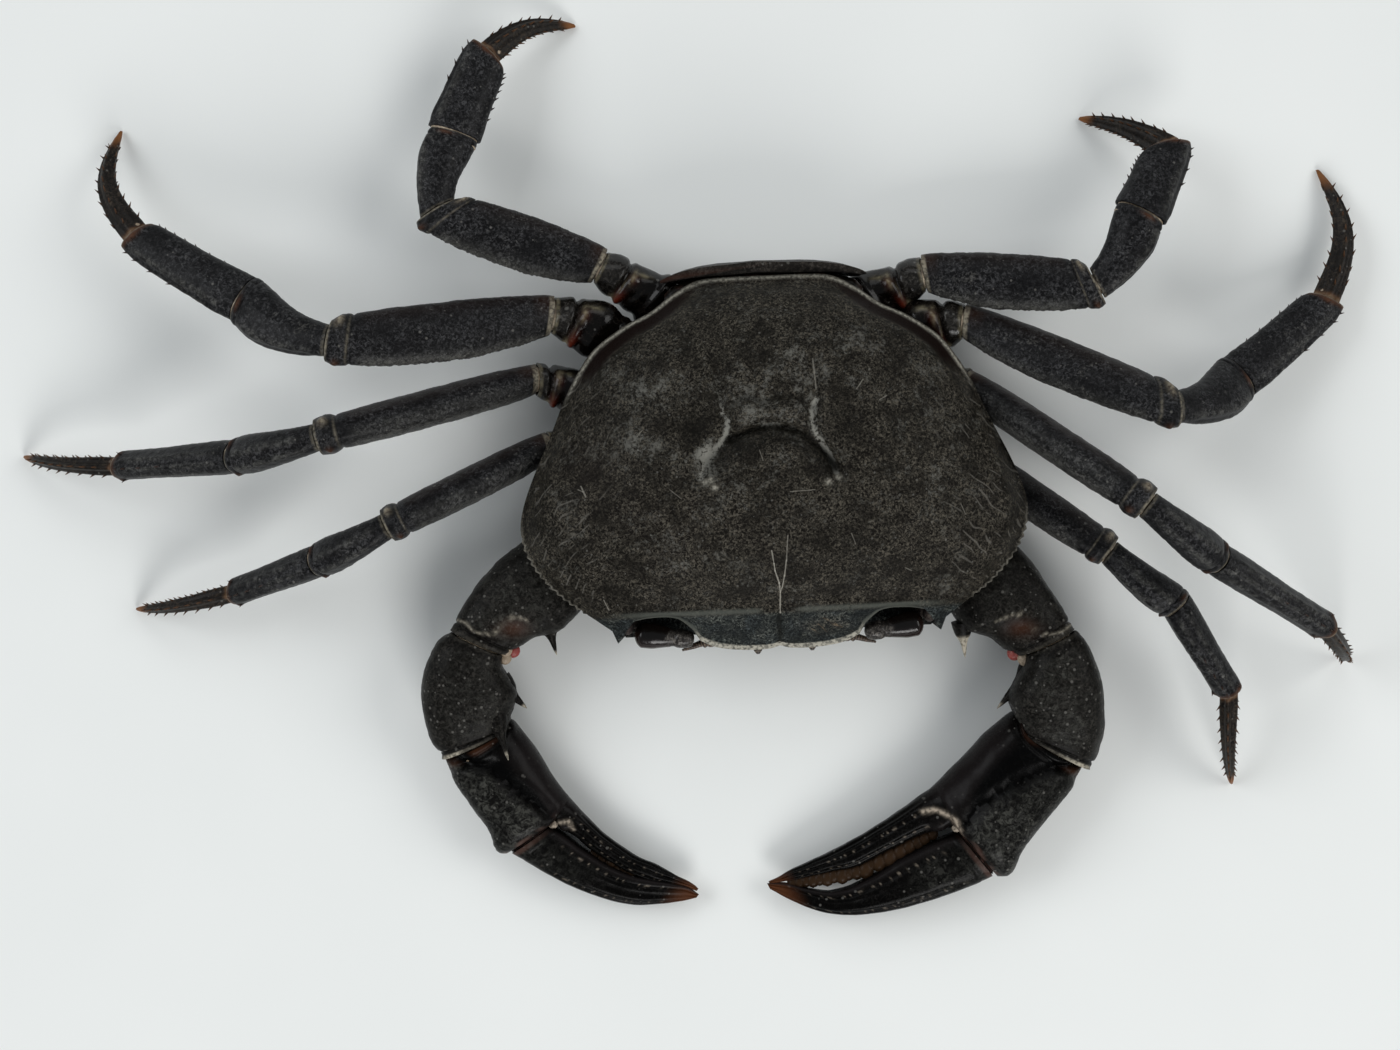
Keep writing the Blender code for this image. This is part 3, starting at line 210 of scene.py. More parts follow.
# Claws: rows of distance, edge toward the body, edge away from it, middle height, half-thickness.
CLAW_SIZE = {
    "left": {
        "start": (21.9, -12.4, 6.0),
        "merus": ((35.9, -26.6, 8.6), [
            (0, -4.0, 4.4, 0, 3.5), (4, -4.6, 6.2, 0, 4.1), (8, -5.2, 7.6, 0.1, 4.6),
            (11, -5.7, 7.4, 0.2, 4.7), (13, -5.0, 6.9, 0.2, 4.6), (15.2, -4.1, 6.2, 0.1, 4.3),
            (17.8, -3.9, 5.4, 0, 4.0), (19.9, -3.3, 4.5, 0, 3.7)]),
        "carpus": ((36.6, -40.9, 6.2), [
            (0, -2.4, 4.6, 0, 3.5), (1.6, -2.7, 5.9, 0.1, 4.2), (4, -4.1, 7.0, 0.1, 4.9),
            (7, -5.1, 7.8, 0, 5.1), (10, -4.7, 7.7, 0, 5.0), (12.6, -4.4, 6.6, 0, 4.7),
            (14.3, -4.6, 5.2, 0, 4.4)]),
        "palm": ((-2.6, -58.7), [
            (0, -6.6, 4.4, 6.0, 4.4), (2, -6.7, 5.9, 5.7, 4.8), (4.6, -6.2, 7.6, 5.4, 5.1),
            (7.7, -5.3, 9.6, 5.2, 5.3), (10.4, -4.3, 11.2, 5.0, 5.2), (13.1, -3.4, 12.6, 4.9, 5.0),
            (14.6, -2.9, 13.0, 4.8, 4.7),
            (16.2, -2.4, 12.7, 4.7, 4.2), (16.5, -2.3, 4.3, 4.6, 3.1), (20, -1.7, 3.6, 4.4, 2.6),
            (25, -1.0, 3.6, 4.1, 2.3), (30, -0.6, 3.1, 3.8, 2.0), (35, -0.5, 1.9, 3.4, 1.6),
            (39, -0.6, 0.5, 3.0, 1.1), (42, -0.5, -0.2, 2.8, 0.5), (42.8, -0.5, -0.4, 2.7, 0.2)]),
        "finger": [
            (16.7, 4.7, 12.4, 4.7, 3.0), (18, 4.8, 12.4, 4.6, 2.8), (21, 5.5, 12.1, 4.5, 2.6),
            (25.3, 6.0, 11.4, 4.3, 2.4), (29, 6.0, 10.6, 4.1, 2.2), (32.5, 5.5, 9.5, 3.8, 2.0),
            (35.5, 4.8, 8.2, 3.5, 1.7), (38.4, 3.7, 6.2, 3.2, 1.3), (41.1, 1.7, 3.3, 2.9, 0.7),
            (43.1, 0.1, 0.5, 2.7, 0.2)],
    },
    "right": {
        "start": (-25.7, -10.3, 6.0),
        "merus": ((-40.2, -23.3, 8.6), [
            (0, -3.8, 4.2, 0, 3.3), (3, -4.8, 5.2, 0, 3.8), (6.5, -6.0, 6.3, 0.1, 4.2),
            (10, -6.1, 6.7, 0.2, 4.3), (12.6, -5.3, 6.6, 0.2, 4.2), (15, -4.1, 6.2, 0.1, 4.0),
            (17.4, -3.7, 5.4, 0, 3.7), (19.5, -3.2, 4.5, 0, 3.4)]),
        "carpus": ((-41.6, -36.7, 5.8), [
            (0, -2.9, 4.4, 0, 3.3), (1.6, -2.8, 6.2, 0.1, 3.9), (4, -3.9, 7.5, 0.1, 4.4),
            (6.7, -5.0, 8.1, 0, 4.6), (9.4, -4.7, 7.6, 0, 4.5), (11.8, -4.2, 6.4, 0, 4.2),
            (13.4, -4.3, 4.9, 0, 3.9)]),
        "palm": ((-12.3, -59.3), [
            (0, -5.0, 4.6, 5.5, 3.8), (1.5, -5.1, 5.7, 5.2, 4.0), (3.3, -4.7, 6.8, 4.9, 4.1),
            (6, -3.9, 8.2, 4.5, 4.4),
            (9, -2.7, 9.4, 4.2, 4.4), (11.6, -1.6, 10.5, 4.1, 4.2), (13.6, -0.9, 10.9, 4.0, 3.8),
            (14.5, -0.7, 10.6, 3.9, 3.4), (14.8, -0.6, 3.9, 3.8, 2.5), (18, 0.1, 4.3, 3.6, 2.2),
            (22, 0.7, 4.6, 3.4, 1.9), (26, 0.8, 4.7, 3.1, 1.6), (30, 0.1, 4.0, 2.9, 1.3),
            (33.5, -0.3, 2.1, 2.7, 0.9), (36, -0.5, 0.5, 2.5, 0.4), (36.6, -0.4, 0.1, 2.4, 0.2)]),
        "finger": [
            (15.0, 4.4, 10.2, 3.9, 2.4), (17, 4.6, 10.0, 3.8, 2.3), (20, 4.9, 9.6, 3.7, 2.1),
            (24, 5.1, 8.8, 3.5, 1.9), (27.5, 5.0, 7.8, 3.2, 1.6), (30.5, 4.4, 6.5, 3.0, 1.3),
            (33.3, 2.9, 4.4, 2.8, 1.0), (35.6, 1.2, 2.4, 2.6, 0.6), (37.1, 0.4, 0.8, 2.4, 0.2)],
    },
}
# Half-height and half-width at the start of a claw's merus, as for a leg.
CLAW_ROOT_SIZE = (5.0, 4.4)
# Large spines of the arms: root, tip, radius at the root and the share of the length that is dark.
CLAW_SPINES = {
    ("left", "merus"): [((25.3, -24.9, 7.5), (25.5, -28.0, 7.0), 1.0, 0.02)],
    ("left", "carpus"): [((34.0, -30.8, 6.5), (29.6, -35.2, 6.5), 1.75, 0.86)],
    ("right", "merus"): [((-31.0, -22.0, 7.5), (-30.3, -25.2, 7.0), 1.05, 0.85)],
    ("right", "carpus"): [((-37.0, -30.0, 7.0), (-34.7, -32.3, 7.0), 1.35, 0.80),
                          ((-38.4, -34.7, 9.2), (-37.2, -38.9, 10.6), 1.20, 0.78)],
}
# Upper side of each hand, as (distance, place across): edge of the outer lobe, width of the
# hollow beside it, the hinge knob and the slant of the finger joint.
HAND_LOBE = {"left": [(-0.2, 4.7), (2.4, 2.9), (7.0, 2.5), (11.8, 2.9), (14.2, 3.9), (16.5, 4.6)],
             "right": [(0.8, 4.5), (3.8, 2.6), (6.7, 2.9), (10.6, 2.8), (13.5, 3.1), (15.5, 3.6)]}
HAND_HOLLOW = {"left": [(0, 7.0), (4, 6.0), (8, 4.8), (12, 3.0), (15, 1.2)],
               "right": [(0, 3.2), (5, 3.0), (10, 2.2), (14, 0.8)]}
HAND_HINGE = {"left": (16.4, 3.9), "right": (14.9, 3.4)}
HAND_SLANT = {"left": -0.22, "right": -0.36}
# How far the inner corner of each hand runs back under the wrist.
HAND_CORNER = {"left": 4.0, "right": 1.8}
# Soft spots at the inner corner of each elbow: place, radius and redness.
ELBOW_SPOTS = {"left": [((32.2, -27.6, 7.6), 1.05, 0.95), ((33.5, -28.4, 8.2), 1.05, 0.0),
                        ((34.3, -26.7, 9.4), 1.0, 0.0)],
               "right": [((-36.2, -24.3, 7.6), 1.0, 0.95), ((-37.1, -24.1, 8.8), 0.95, 0.0),
                         ((-37.3, -25.2, 8.2), 0.95, 0.0), ((-37.8, -22.7, 9.6), 0.8, 0.0)]}
# Pale raised lines over each elbow, and the brown hollow beside them.
ELBOW_LINES = {
    "left": [[(29.5, -23.0), (31.7, -22.2), (33.2, -22.1), (33.8, -23.1), (34.4, -24.2)],
             [(34.4, -24.2), (35.1, -24.8), (36.1, -24.8), (37.1, -24.3), (37.8, -23.7), (38.5, -23.0),
              (38.9, -22.4)]],
    "right": [[(-42.2, -18.8), (-41.2, -19.5), (-41.0, -20.0), (-40.6, -20.8), (-39.8, -21.4),
               (-38.7, -21.8), (-38.1, -21.5), (-37.9, -21.1), (-37.4, -20.5), (-36.7, -19.9),
               (-36.1, -19.7), (-35.2, -19.7), (-34.5, -19.9), (-33.8, -20.3)]],
}
ELBOW_HOLLOW = {"left": (32.8, -24.2), "right": (-35.8, -21.3)}
# Pale lines and bosses on the hands as (distance, place across).
HAND_LINES = {"left": [([(19.5, -0.2), (18.0, 0.2), (17.1, 1.1), (16.0, 2.6), (16.3, 4.0)], 0.30)],
              "right": [([(15.3, 2.6), (16.4, 1.7), (17.6, 2.4)], 0.20)]}
HAND_BOSS = {"left": (18.3, 2.5, 1.4, 0.9), "right": (16.3, 2.6, 0.8, 0.6)}
# Edges of the fingers that face each other.
FIXED_EDGE = {"left": [(16.4, 4.3), (20, 3.0), (25, 2.9), (30, 3.0), (35, 1.9), (39, 0.9), (42, 0.1),
                       (42.8, -0.1)],
              "right": [(14.7, 3.4), (18, 3.3), (22, 3.6), (26, 3.4), (30, 2.7), (33.5, 1.1), (36, 0.1),
                        (36.6, 0.0)]}
FREE_EDGE = {"left": [(16.7, 4.6), (18, 4.5), (21, 4.3), (24.4, 4.3), (28.9, 4.8), (31.7, 4.9),
                      (35.3, 4.4), (37.9, 2.9), (41.1, 0.4), (43.1, -0.4)],
             "right": [(15.0, 3.8), (17, 3.7), (20, 3.9), (24, 3.8), (28, 3.1), (32, 1.4), (35.6, 0.1),
                       (37.1, 0.2)]}
# Blunt teeth of the fixed and the free finger, as (distance, height).
CLAW_TEETH = {
    "left": (((19.6, 0.45), (20.9, 0.6), (22.1, 0.55), (23.3, 0.8), (24.7, 1.0), (26.3, 1.15), (27.9, 1.0),
              (29.1, 0.6), (30.0, 1.0), (31.3, 0.75), (32.4, 0.65), (33.3, 0.85), (34.4, 0.65), (35.3, 0.8),
              (36.3, 0.6), (37.2, 0.65), (38.1, 0.5), (39.0, 0.5), (39.9, 0.4)),
             ((22.0, 0.25), (24.8, 0.25))),
    "right": (((22.0, 0.25), (23.2, 0.35), (24.4, 0.3), (25.5, 0.4), (26.6, 0.3), (27.7, 0.4), (28.7, 0.3),
               (29.7, 0.35), (30.7, 0.3), (31.6, 0.25)),
              ((24.6, 0.25), (27.6, 0.25))),
}
# Faces round a limb, a palm and a finger.
LEG_SIDES = 44
ARM_SIDES = 60
PALM_SIDES = 64
FINGER_SIDES = 56

# Eyes, feelers and mouth.
EYE_INNER = np.array([11.4, -23.5, 14.5])
EYE_OUTER = np.array([19.3, -22.5, 14.0])
EYE_SIDES = 48
FEELER_SIDES = 20
EYE_FORM = [(0, 0.4), (0.03, 0.9), (0.12, 1.2), (0.25, 1.3), (0.33, 1.12), (0.40, 1.25), (0.55, 1.5),
            (0.72, 1.72), (0.86, 1.72), (0.94, 1.3), (0.985, 0.65), (1, 0.2)]
ANTENNA_ROOT = np.array([8.6, -23.6, 11.4])
ANTENNA_HEADING = -18
ANTENNA_FORM = [(0, 0.9), (0.6, 1.02), (1.15, 0.85), (1.3, 0.7), (1.7, 0.78), (1.95, 0.5), (3.2, 0.38),
                (4.7, 0.14)]
ANTENNULE_FORM = [(0, 0.7), (0.8, 0.86), (1.7, 0.84), (1.9, 0.62), (2.2, 0.7), (3.0, 0.6), (3.6, 0.2)]
ANTENNULE_ROOTS = [(-2.9, -23.6, 11.9), (4.4, -23.4, 11.9)]
EPISTOME = [(-7.0, 0.5), (-6.4, 1.0), (-3.0, 1.15), (0.0, 1.25), (3.0, 1.15), (6.4, 1.0), (7.0, 0.5)]
EPISTOME_Y = -22.6
EPISTOME_HEIGHT = 11.6
MOUTH_FOOT = np.array([0.0, -14.9, 2.2])
MOUTH_HEAD = np.array([0.0, -20.3, 9.9])
MOUTH_HALF = 4.1
MOUTH_FORM = [(0, 0.55), (0.06, 0.8), (0.2, 0.96), (0.5, 1.0), (0.62, 0.98), (0.66, 0.92),
              (0.70, 0.97), (0.85, 0.92), (0.95, 0.75), (1, 0.5)]

# Camera: straight above, as the photograph was taken. Its focal length is a share of the sensor's width.
CAMERA_PLACE = (-9.94, -8.28, 300.0)
CAMERA_TURN = -2.5
FOCAL_SHARE = 1.53
SENSOR = 36.0
# Soft window panels: place and size in metres, power and colour.
WINDOWS = {
    "window_left": ((-0.75, 0.25, 0.62), (0.7, 0.5), 4.1, (0.96, 0.98, 1.0)),
    "window_right": ((0.75, 0.10, 0.62), (0.7, 0.5), 3.4, (1.0, 0.99, 0.97)),
    "window_back": ((0.05, 0.80, 0.65), (0.8, 0.45), 1.6, (0.98, 0.99, 1.0)),
    "window_front": ((0.12, -0.80, 0.50), (0.5, 0.35), 4.8, (1.0, 0.99, 0.98)),
}


# Mesh helpers

def eased(rows, at):
    """Read a table along its first column as smooth curves that never overshoot its rows."""
    rows = np.array(rows, float)
    rows = rows[np.argsort(rows[:, 0])]
    x = rows[:, 0]
    y = rows[:, 1:]
    step = np.diff(x)[:, None]
    slope = np.diff(y, axis=0) / step
    before = slope[:-1]
    after = slope[1:]
    rising = before * after > 0
    w1 = 2 * step[1:] + step[:-1]
    w2 = step[1:] + 2 * step[:-1]
    safe_before = np.where(rising, before, 1.0)
    safe_after = np.where(rising, after, 1.0)
    inner = np.where(rising, (w1 + w2) / (w1 / safe_before + w2 / safe_after), 0.0)
    tangent = np.vstack([slope[:1], inner, slope[-1:]])
    at = np.clip(np.asarray(at, float), x[0], x[-1])
    k = np.clip(np.searchsorted(x, at) - 1, 0, len(x) - 2)
    width = step[k]
    t = (at - x[k])[..., None] / width
    return (y[k] * (1 + 2 * t) * (1 - t) ** 2 + tangent[k] * width * t * (1 - t) ** 2
            + y[k + 1] * t * t * (3 - 2 * t) + tangent[k + 1] * width * t * t * (t - 1))


def hump(value, centre, width):
    """Smooth hump of height one round a centre."""
    return np.exp(-((value - centre) / width) ** 2)


def ramp(value, low, high):
    """Smooth rise from 0 to 1 between two values."""
    t = np.clip((value - low) / (high - low), 0, 1)
    return t * t * (3 - 2 * t)


def swirl(points, size, seed):
    """Soft random field over points, about -1 to 1, with features of the given size."""
    shift = Vector((seed * 7.3, seed * 3.1, seed * 5.7))
    flat = points.reshape(-1, 3) / size
    values = [noise.noise(Vector(p) + shift) for p in flat.tolist()]
    return np.array(values).reshape(points.shape[:-1])


def unit(vector):
    """The same direction at a length of one."""
    vector = np.asarray(vector, float)
    return vector / np.linalg.norm(vector)


def heading_vector(heading, pitch=0.0):
    """Unit vector at a heading from +X about Z and a pitch above the floor."""
    h = math.radians(heading)
    p = math.radians(pitch)
    return np.array([math.cos(h) * math.cos(p), math.sin(h) * math.cos(p), math.sin(p)])


def frame_of(direction, lean, mirror):
    """Across and up vectors of a limb, its upper edge leaning forward by an angle."""
    side = unit(np.cross(direction, [0, 0, 1]))
    up = unit(np.cross(side, direction))
    side = side * mirror
    angle = math.radians(lean)
    return side * math.cos(angle) - up * math.sin(angle), up * math.cos(angle) + side * math.sin(angle)


def turns(sides):
    """Angles of the points of a ring."""
    return math.tau * (np.arange(sides) + 0.5) / sides


def sections(centres, across, up, wide, tall, sides, power=2.2, ridge=0.0):
    """Superellipse rings round centres, and the outward direction at each point."""
    c = np.cos(turns(sides))[None]
    s = np.sin(turns(sides))[None]
    y = np.sign(s) * abs(s) ** (2 / power)
    x = np.sign(c) * abs(c) ** (2 / power) * (1 - ridge * np.maximum(0, y))
    wide = np.asarray(wide, float)[:, None]
    tall = np.asarray(tall, float)[:, None]
    rings = (np.asarray(centres)[:, None] + (x * wide)[..., None] * across + (y * tall)[..., None] * up)
    outward = (c * tall)[..., None] * across + (s * wide)[..., None] * up
    outward /= np.linalg.norm(outward, axis=2, keepdims=True)
    return rings, outward


def tone_layer(bm, name):
    """The layer of a mesh that holds one painted tone."""
    return bm.verts.layers.float.get(name) or bm.verts.layers.float.new(name)


def rolled(rings, masks=None, bm=None):
    """Close a tube over rings of points: a grid rolled up, welded along its seam and capped."""
    bm = bm or bmesh.new()
    layers = {name: tone_layer(bm, name) for name in (masks or {})}
    count, across = rings.shape[:2]
    verts = bmesh.ops.create_grid(bm, x_segments=across, y_segments=count - 1, size=1.0)["verts"]
    wrapped = np.concatenate([rings, rings[:, :1]], axis=1).reshape(-1, 3).tolist()
    for vert, place in zip(verts, wrapped):
        vert.co = place
    for name, mask in (masks or {}).items():
        values = np.concatenate([mask, mask[:, :1]], axis=1).ravel().tolist()
        for vert, value in zip(verts, values):
            vert[layers[name]] = value
    width = across + 1
    seam = {verts[row * width + across]: verts[row * width] for row in range(count)}
    ends = [[verts[row * width + column] for column in range(across)] for row in (0, count - 1)]
    bmesh.ops.weld_verts(bm, targetmap=seam)
    for ring in ends:
        near = dict.fromkeys(edge for vert in ring for edge in vert.link_edges)
        bmesh.ops.edgeloop_fill(bm, edges=[edge for edge in near if edge.is_boundary])
    return bm


def lipped_shell(rings, masks, depth=LIP, ends=(True, True), top=1.0):
    """Shell over rings, its open ends turned in to a rounded lip and its tones held in bounds."""
    def turned(ring, along):
        centre = ring.mean(axis=0)
        return [centre + (ring - centre) * 0.93 + along * 0.08,
                centre + (ring - centre) * 0.80 - along * depth]

    start = unit(rings[0].mean(axis=0) - rings[1].mean(axis=0))
    end = unit(rings[-1].mean(axis=0) - rings[-2].mean(axis=0))
    front = turned(rings[0], start)[::-1] if ends[0] else []
    back = turned(rings[-1], end) if ends[1] else []
    padded = {}
    for name, mask in masks.items():
        mask = np.clip(np.broadcast_to(mask, rings.shape[:2]), 0, top)
        padded[name] = np.concatenate([mask[:1]] * len(front) + [mask] + [mask[-1:]] * len(back))
    return rolled(np.concatenate([np.array(part) for part in (front, rings, back) if len(part)]), padded)


# Small spines: sides, share of the length that is sunk, and radius of the tip over that of the root.
SPIKE_SIDES = 7
SPIKE_SUNK = 0.3
SPIKE_TIP = 0.1


def spike(bm, root, direction, length, radius):
    """Add a small tapering spine to a shell, sunk in it, and tint it brown toward its tip."""
    direction = Vector(direction).normalized()
    turn = direction.to_track_quat("Z", "Y").to_matrix().to_4x4()
    centre = Vector(root) + direction * (length * (0.5 - SPIKE_SUNK))
    layer = tone_layer(bm, "brown")
    verts = bmesh.ops.create_cone(bm, cap_ends=True, segments=SPIKE_SIDES, radius1=radius,
                                  radius2=radius * SPIKE_TIP, depth=length,
                                  matrix=Matrix.Translation(centre) @ turn)["verts"]
    for vert in verts:
        vert[layer] = 0.5 * max(0.0, (vert.co - centre).dot(direction) / length + 0.5)


# Share of a large spine's length from its root, and of its radius.
THORN_FORM = [(-0.6, 1.5), (-0.3, 1.3), (0, 1.0), (0.15, 0.70), (0.35, 0.46), (0.65, 0.28), (0.9, 0.12),
              (1, 0.03)]
THORN_SIDES = 16


def thorn(bm, root, tip, radius, pale_from):
    """Add a large spine with a flared root sunk in its shell and a pale tip."""
    root = np.array(root)
    reach = np.array(tip) - root
    share = np.concatenate([np.linspace(-0.6, 0.9, 24), [0.95, 0.985, 1.0]])
    across = unit(np.cross(reach, [0.1, 0.2, 1]))
    up = unit(np.cross(across, reach))
    size = eased(THORN_FORM, share)[:, 0] * radius
    rings, _ = sections(root + reach * share[:, None], across, up, size, size, THORN_SIDES, power=2.0)
    pale = ramp(share, pale_from - 0.1, pale_from + 0.1)[:, None] * np.ones((1, THORN_SIDES))
    rolled(rings, {"pale": pale}, bm)


def bead(bm, place, radius, tone, value, stretch=(1, 1, 1), detail=2):
    """Add a small rounded knob to a shell."""
    matrix = Matrix.Translation(Vector(place)) @ Matrix.Diagonal((*stretch, 1))
    layer = tone_layer(bm, tone)
    verts = bmesh.ops.create_icosphere(bm, subdivisions=detail, radius=radius, matrix=matrix)["verts"]
    for vert in verts:
        vert[layer] = value


def piece(bm, name, nodes, material, angle=55):
    """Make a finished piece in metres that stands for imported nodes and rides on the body."""
    bmesh.ops.scale(bm, vec=(MM, MM, MM), verts=bm.verts)
    bmesh.ops.recalc_face_normals(bm, faces=bm.faces)
    mesh = bpy.data.meshes.new(name)
    bm.to_mesh(mesh)
    bm.free()
    mesh.shade_smooth()
    mesh.set_sharp_from_angle(angle=math.radians(angle))
    obj = bpy.data.objects.new(name, mesh)
    bpy.context.scene.collection.objects.link(obj)
    mesh.materials.append(material)
    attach(obj, "root")
    if nodes:
        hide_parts(*nodes)
    return obj


def line_distance(x, y, line):
    """Distance in plan from points to a polyline."""
    best = np.full(x.shape, 1e9)
    for (x0, y0), (x1, y1) in zip(line, line[1:]):
        dx = x1 - x0
        dy = y1 - y0
        t = np.clip(((x - x0) * dx + (y - y0) * dy) / (dx * dx + dy * dy), 0, 1)
        best = np.minimum(best, np.hypot(x - x0 - t * dx, y - y0 - t * dy))
    return best


def spot(x, y, middle_x, middle_y, wide, deep):
    """Soft spot of height one in plan."""
    return np.exp(-((x - middle_x) / wide) ** 2 - ((y - middle_y) / deep) ** 2)


def stroke(x, y, line, width):
    """Soft line of height one along a polyline in plan."""
    return hump(line_distance(x, y, line), 0, width)


def curve_through(points, count):
    """Even points along a smooth open curve through the given ones."""
    points = np.array(points, float)
    padded = np.vstack([points[:1], points, points[-1:]])
    t = np.arange(0, 1, 1 / 16)[:, None]
    dense = []
    for p0, p1, p2, p3 in zip(padded, padded[1:], padded[2:], padded[3:]):
        dense.append(0.5 * (2 * p1 + (p2 - p0) * t + (2 * p0 - 5 * p1 + 4 * p2 - p3) * t ** 2
                            + (3 * p1 - p0 - 3 * p2 + p3) * t ** 3))
    dense = np.vstack(dense + [points[-1:]])
    walk = np.concatenate([[0], np.cumsum(np.linalg.norm(np.diff(dense, axis=0), axis=1))])
    at = np.linspace(0, walk[-1], count)
    return np.stack([np.interp(at, walk, dense[:, k]) for k in range(dense.shape[1])], axis=1)


def straight_through(points, each):
    """Points along a polyline, a few to each stretch, its corners kept."""
    points = np.array(points, float)
    t = np.arange(0, 1, 1 / each)[:, None]
    return np.vstack([a + (b - a) * t for a, b in zip(points, points[1:])])


def smooth_closed(points, rounds, reach):
    """Running average of a closed row of points."""
    for _ in range(rounds):
        points = sum(np.roll(points, k, axis=0) for k in range(-reach, reach + 1)) / (2 * reach + 1)
    return points


# Carapace

SIDE_EDGE = REAR_EDGE + REAR_SIDE + MIDDLE_SIDE + FRONT_SIDE
HALF_WIDTHS = [(y, x) for x, y, height in SIDE_EDGE[1:]] + [(CREST_Y, CREST_HALF)]
SAW_POINTS = 84
SAW_TEETH = 14


def shell_outline():
    """Closed outline of the carapace with its saw of small teeth along the front side edges."""
    side = curve_through(SIDE_EDGE, 118)
    side = side[side[:, 1] >= FRONT_SIDE[0][1]]
    saw = curve_through(FRONT_SIDE + CHEEK_TOOTH[:1], SAW_POINTS)
    away = saw - SHELL_CENTRE
    away[:, 2] = 0
    away /= np.linalg.norm(away, axis=1, keepdims=True)
    walk = np.linspace(0, 1, SAW_POINTS)
    phase = np.linspace(0, SAW_TEETH, SAW_POINTS) % 1
    tooth = (0.34 * (1 - abs(2 * phase - 1)) - 0.16) * ramp(walk, 0, 0.15)
    saw = saw + away * tooth[:, None]
    teeth = straight_through(CHEEK_TOOTH + ORBIT_TOOTH + ORBIT_EDGE[:1], 5)
    left = np.vstack([side, saw[:-1], teeth, curve_through(ORBIT_EDGE, 26), curve_through(FRONT_EDGE, 34)])
    right = left[-2:0:-1] * np.array([-1, 1, 1])
    return np.vstack([left, right])


def shell_height(x, y):
    """Height of the upper face of the carapace above the floor."""
    side = abs(x)
    ahead = np.maximum(CREST_Y, y)
    half = eased(HALF_WIDTHS, ahead)[..., 0]
    dome = np.maximum(0, 1 - np.minimum(1, side / half) ** 2.6) ** 0.62
    height = eased(EDGE_LINE, ahead)[..., 0] + eased(SPINE_LINE, ahead)[..., 0] * dome
    height -= np.maximum(0, CREST_Y - y) * FRONT_SLOPE
    crest = CREST_Y - 0.5 * hump(x, -0.3, 3.5) + 0.5 * hump(x, 6, 4)
    height += 0.26 * hump(y, crest, 0.42) - 0.30 * hump(y, crest + 1.5, 0.9)
    height += 0.45 * spot(side, y, 17, -2, 8, 9)
    for px, py, wide, deep, rise in SWELLINGS:
        height += rise * spot(x, y, px, py, wide, deep)
    for line, depth, width in GROOVES:
        height -= depth * stroke(x, y, line, width)
    for px, py in PITS:
        height -= 0.30 * spot(x, y, px, py, 0.4, 0.4)
    return height


def dust_tone(x, y):
    """Where the dry film gathers on the back."""
    dust = 0.12 + 0.25 * spot(x, y, 0, 5, 19, 13)
    for px, py, wide, deep, rise in SWELLINGS:
        dust = dust + (0.12 if rise > 0 else -0.35) * spot(x, y, px, py, wide, deep)
    for line, _, _ in GROOVES[:2]:
        low = line[2:]
        near = 0.45 * stroke(x, y, line, 0.45) + 0.55 * stroke(x, y, low, 0.35)
        near += 0.30 * stroke(x, y, low, 1.2)
        dust = np.maximum(dust, near)
    for px, py, wide, deep, share in DUST:
        dust = np.maximum(dust, share * spot(x, y, px, py, wide, deep))
    return dust


def painted_groove_shade(x, y):
    """Painted shade where the grooves, the median notch and the deep hollows of the back are darkest."""
    marks = [0.75 * stroke(x, y + 0.35, GROOVES[3][0], 0.55), 0.55 * stroke(x, y + 0.2, GROOVES[5][0], 1.3),
             0.40 * stroke(x, y, GROOVES[2][0], 0.45), 0.80 * stroke(x, y, NOTCH_SHADE_LINE, 0.38)]
    for px, py, wide, deep, rise in SWELLINGS:
        if rise < -0.5:
            marks.append(0.50 * spot(x, y, px, py, wide, deep))
    return np.max(marks, axis=0)


def shell_tones(x, y, inset):
    """Pale, dusty, brown and striped parts of the back, its bluish front and its painted groove shade."""
    side = abs(x)
    ahead = -y
    rear = (0.45 + 0.4 * ramp(side, 8, 13)) * ramp(y, 8, 12) * hump(inset, 0.26, 0.15)
    front = ramp(ahead, 19.9, 20.5) * (side < 26)
    crest = ramp(ahead, 19.3, 19.7) * (1 - ramp(ahead, 19.9, 20.3)) * ramp(side, 1.6, 3.4)
    crest = crest * (1 - ramp(side, 17, 24))
    socket = ramp(side, 10.4, 11.2) * (side < 21) * (ahead > 19.2) * (1 - ramp(inset, 0.45, 0.75))
    rim = 1.2 * ramp(ahead, 22.0, 22.6) * (side < 11.2) * (1 - ramp(inset, 0.40, 0.58))
    orbit_rim = 0.10 * (side > 11) * (side < 20.5) * (ahead > 19.5) * (1 - ramp(inset, 0.2, 0.4))
    saw = 0.30 * ramp(side, 25, 27) * ramp(ahead, 6, 10) * (1 - ramp(inset, 0.10, 0.35))
    pits = sum(spot(x, y, px, py, math.sqrt(0.1), math.sqrt(0.1)) for px, py in PITS)
    corner = ramp(side, 8, 13)
    hollow = ramp(y, 10, 13) * ramp(inset, 0.36, 0.50)
    hollow = hollow * (1 - ramp(inset, 0.6 + 0.9 * corner, 0.8 + 1.3 * corner)) * (0.495 + 0.605 * corner)
    return {
        "pale": np.clip(rear + rim + orbit_rim + saw + pits, 0, 1),
        "dust": np.clip(dust_tone(x, y), 0, 1),
        "front": front,
        "brown": np.maximum(hollow, 0.30 * spot(x, y, -24, -0.5, 4, 4)),
        # painted shade in the grooves and the deep hollows
        "groove_shade": painted_groove_shade(x, y),
        "stripes": ramp(side, 17, 27) * (1 - ramp(ahead, 16, 19)),
        "tan": spot(x, y, 6.2, -22.2, 3.0, 0.9),
        "grey": np.clip(0.7 * crest + 0.8 * socket, 0, 1),
    }


def rear_rim(points, inset):
    """Rounded bead along the rear edge with a hollow inside it."""
    rear = ramp(points[..., 1], 9, 13)
    corner = 1 + 0.8 * ramp(abs(points[..., 0]), 9, 14)
    return rear * (0.30 * hump(inset, 0.28, 0.24) - 0.34 * corner * hump(inset, 1.25, 0.62))


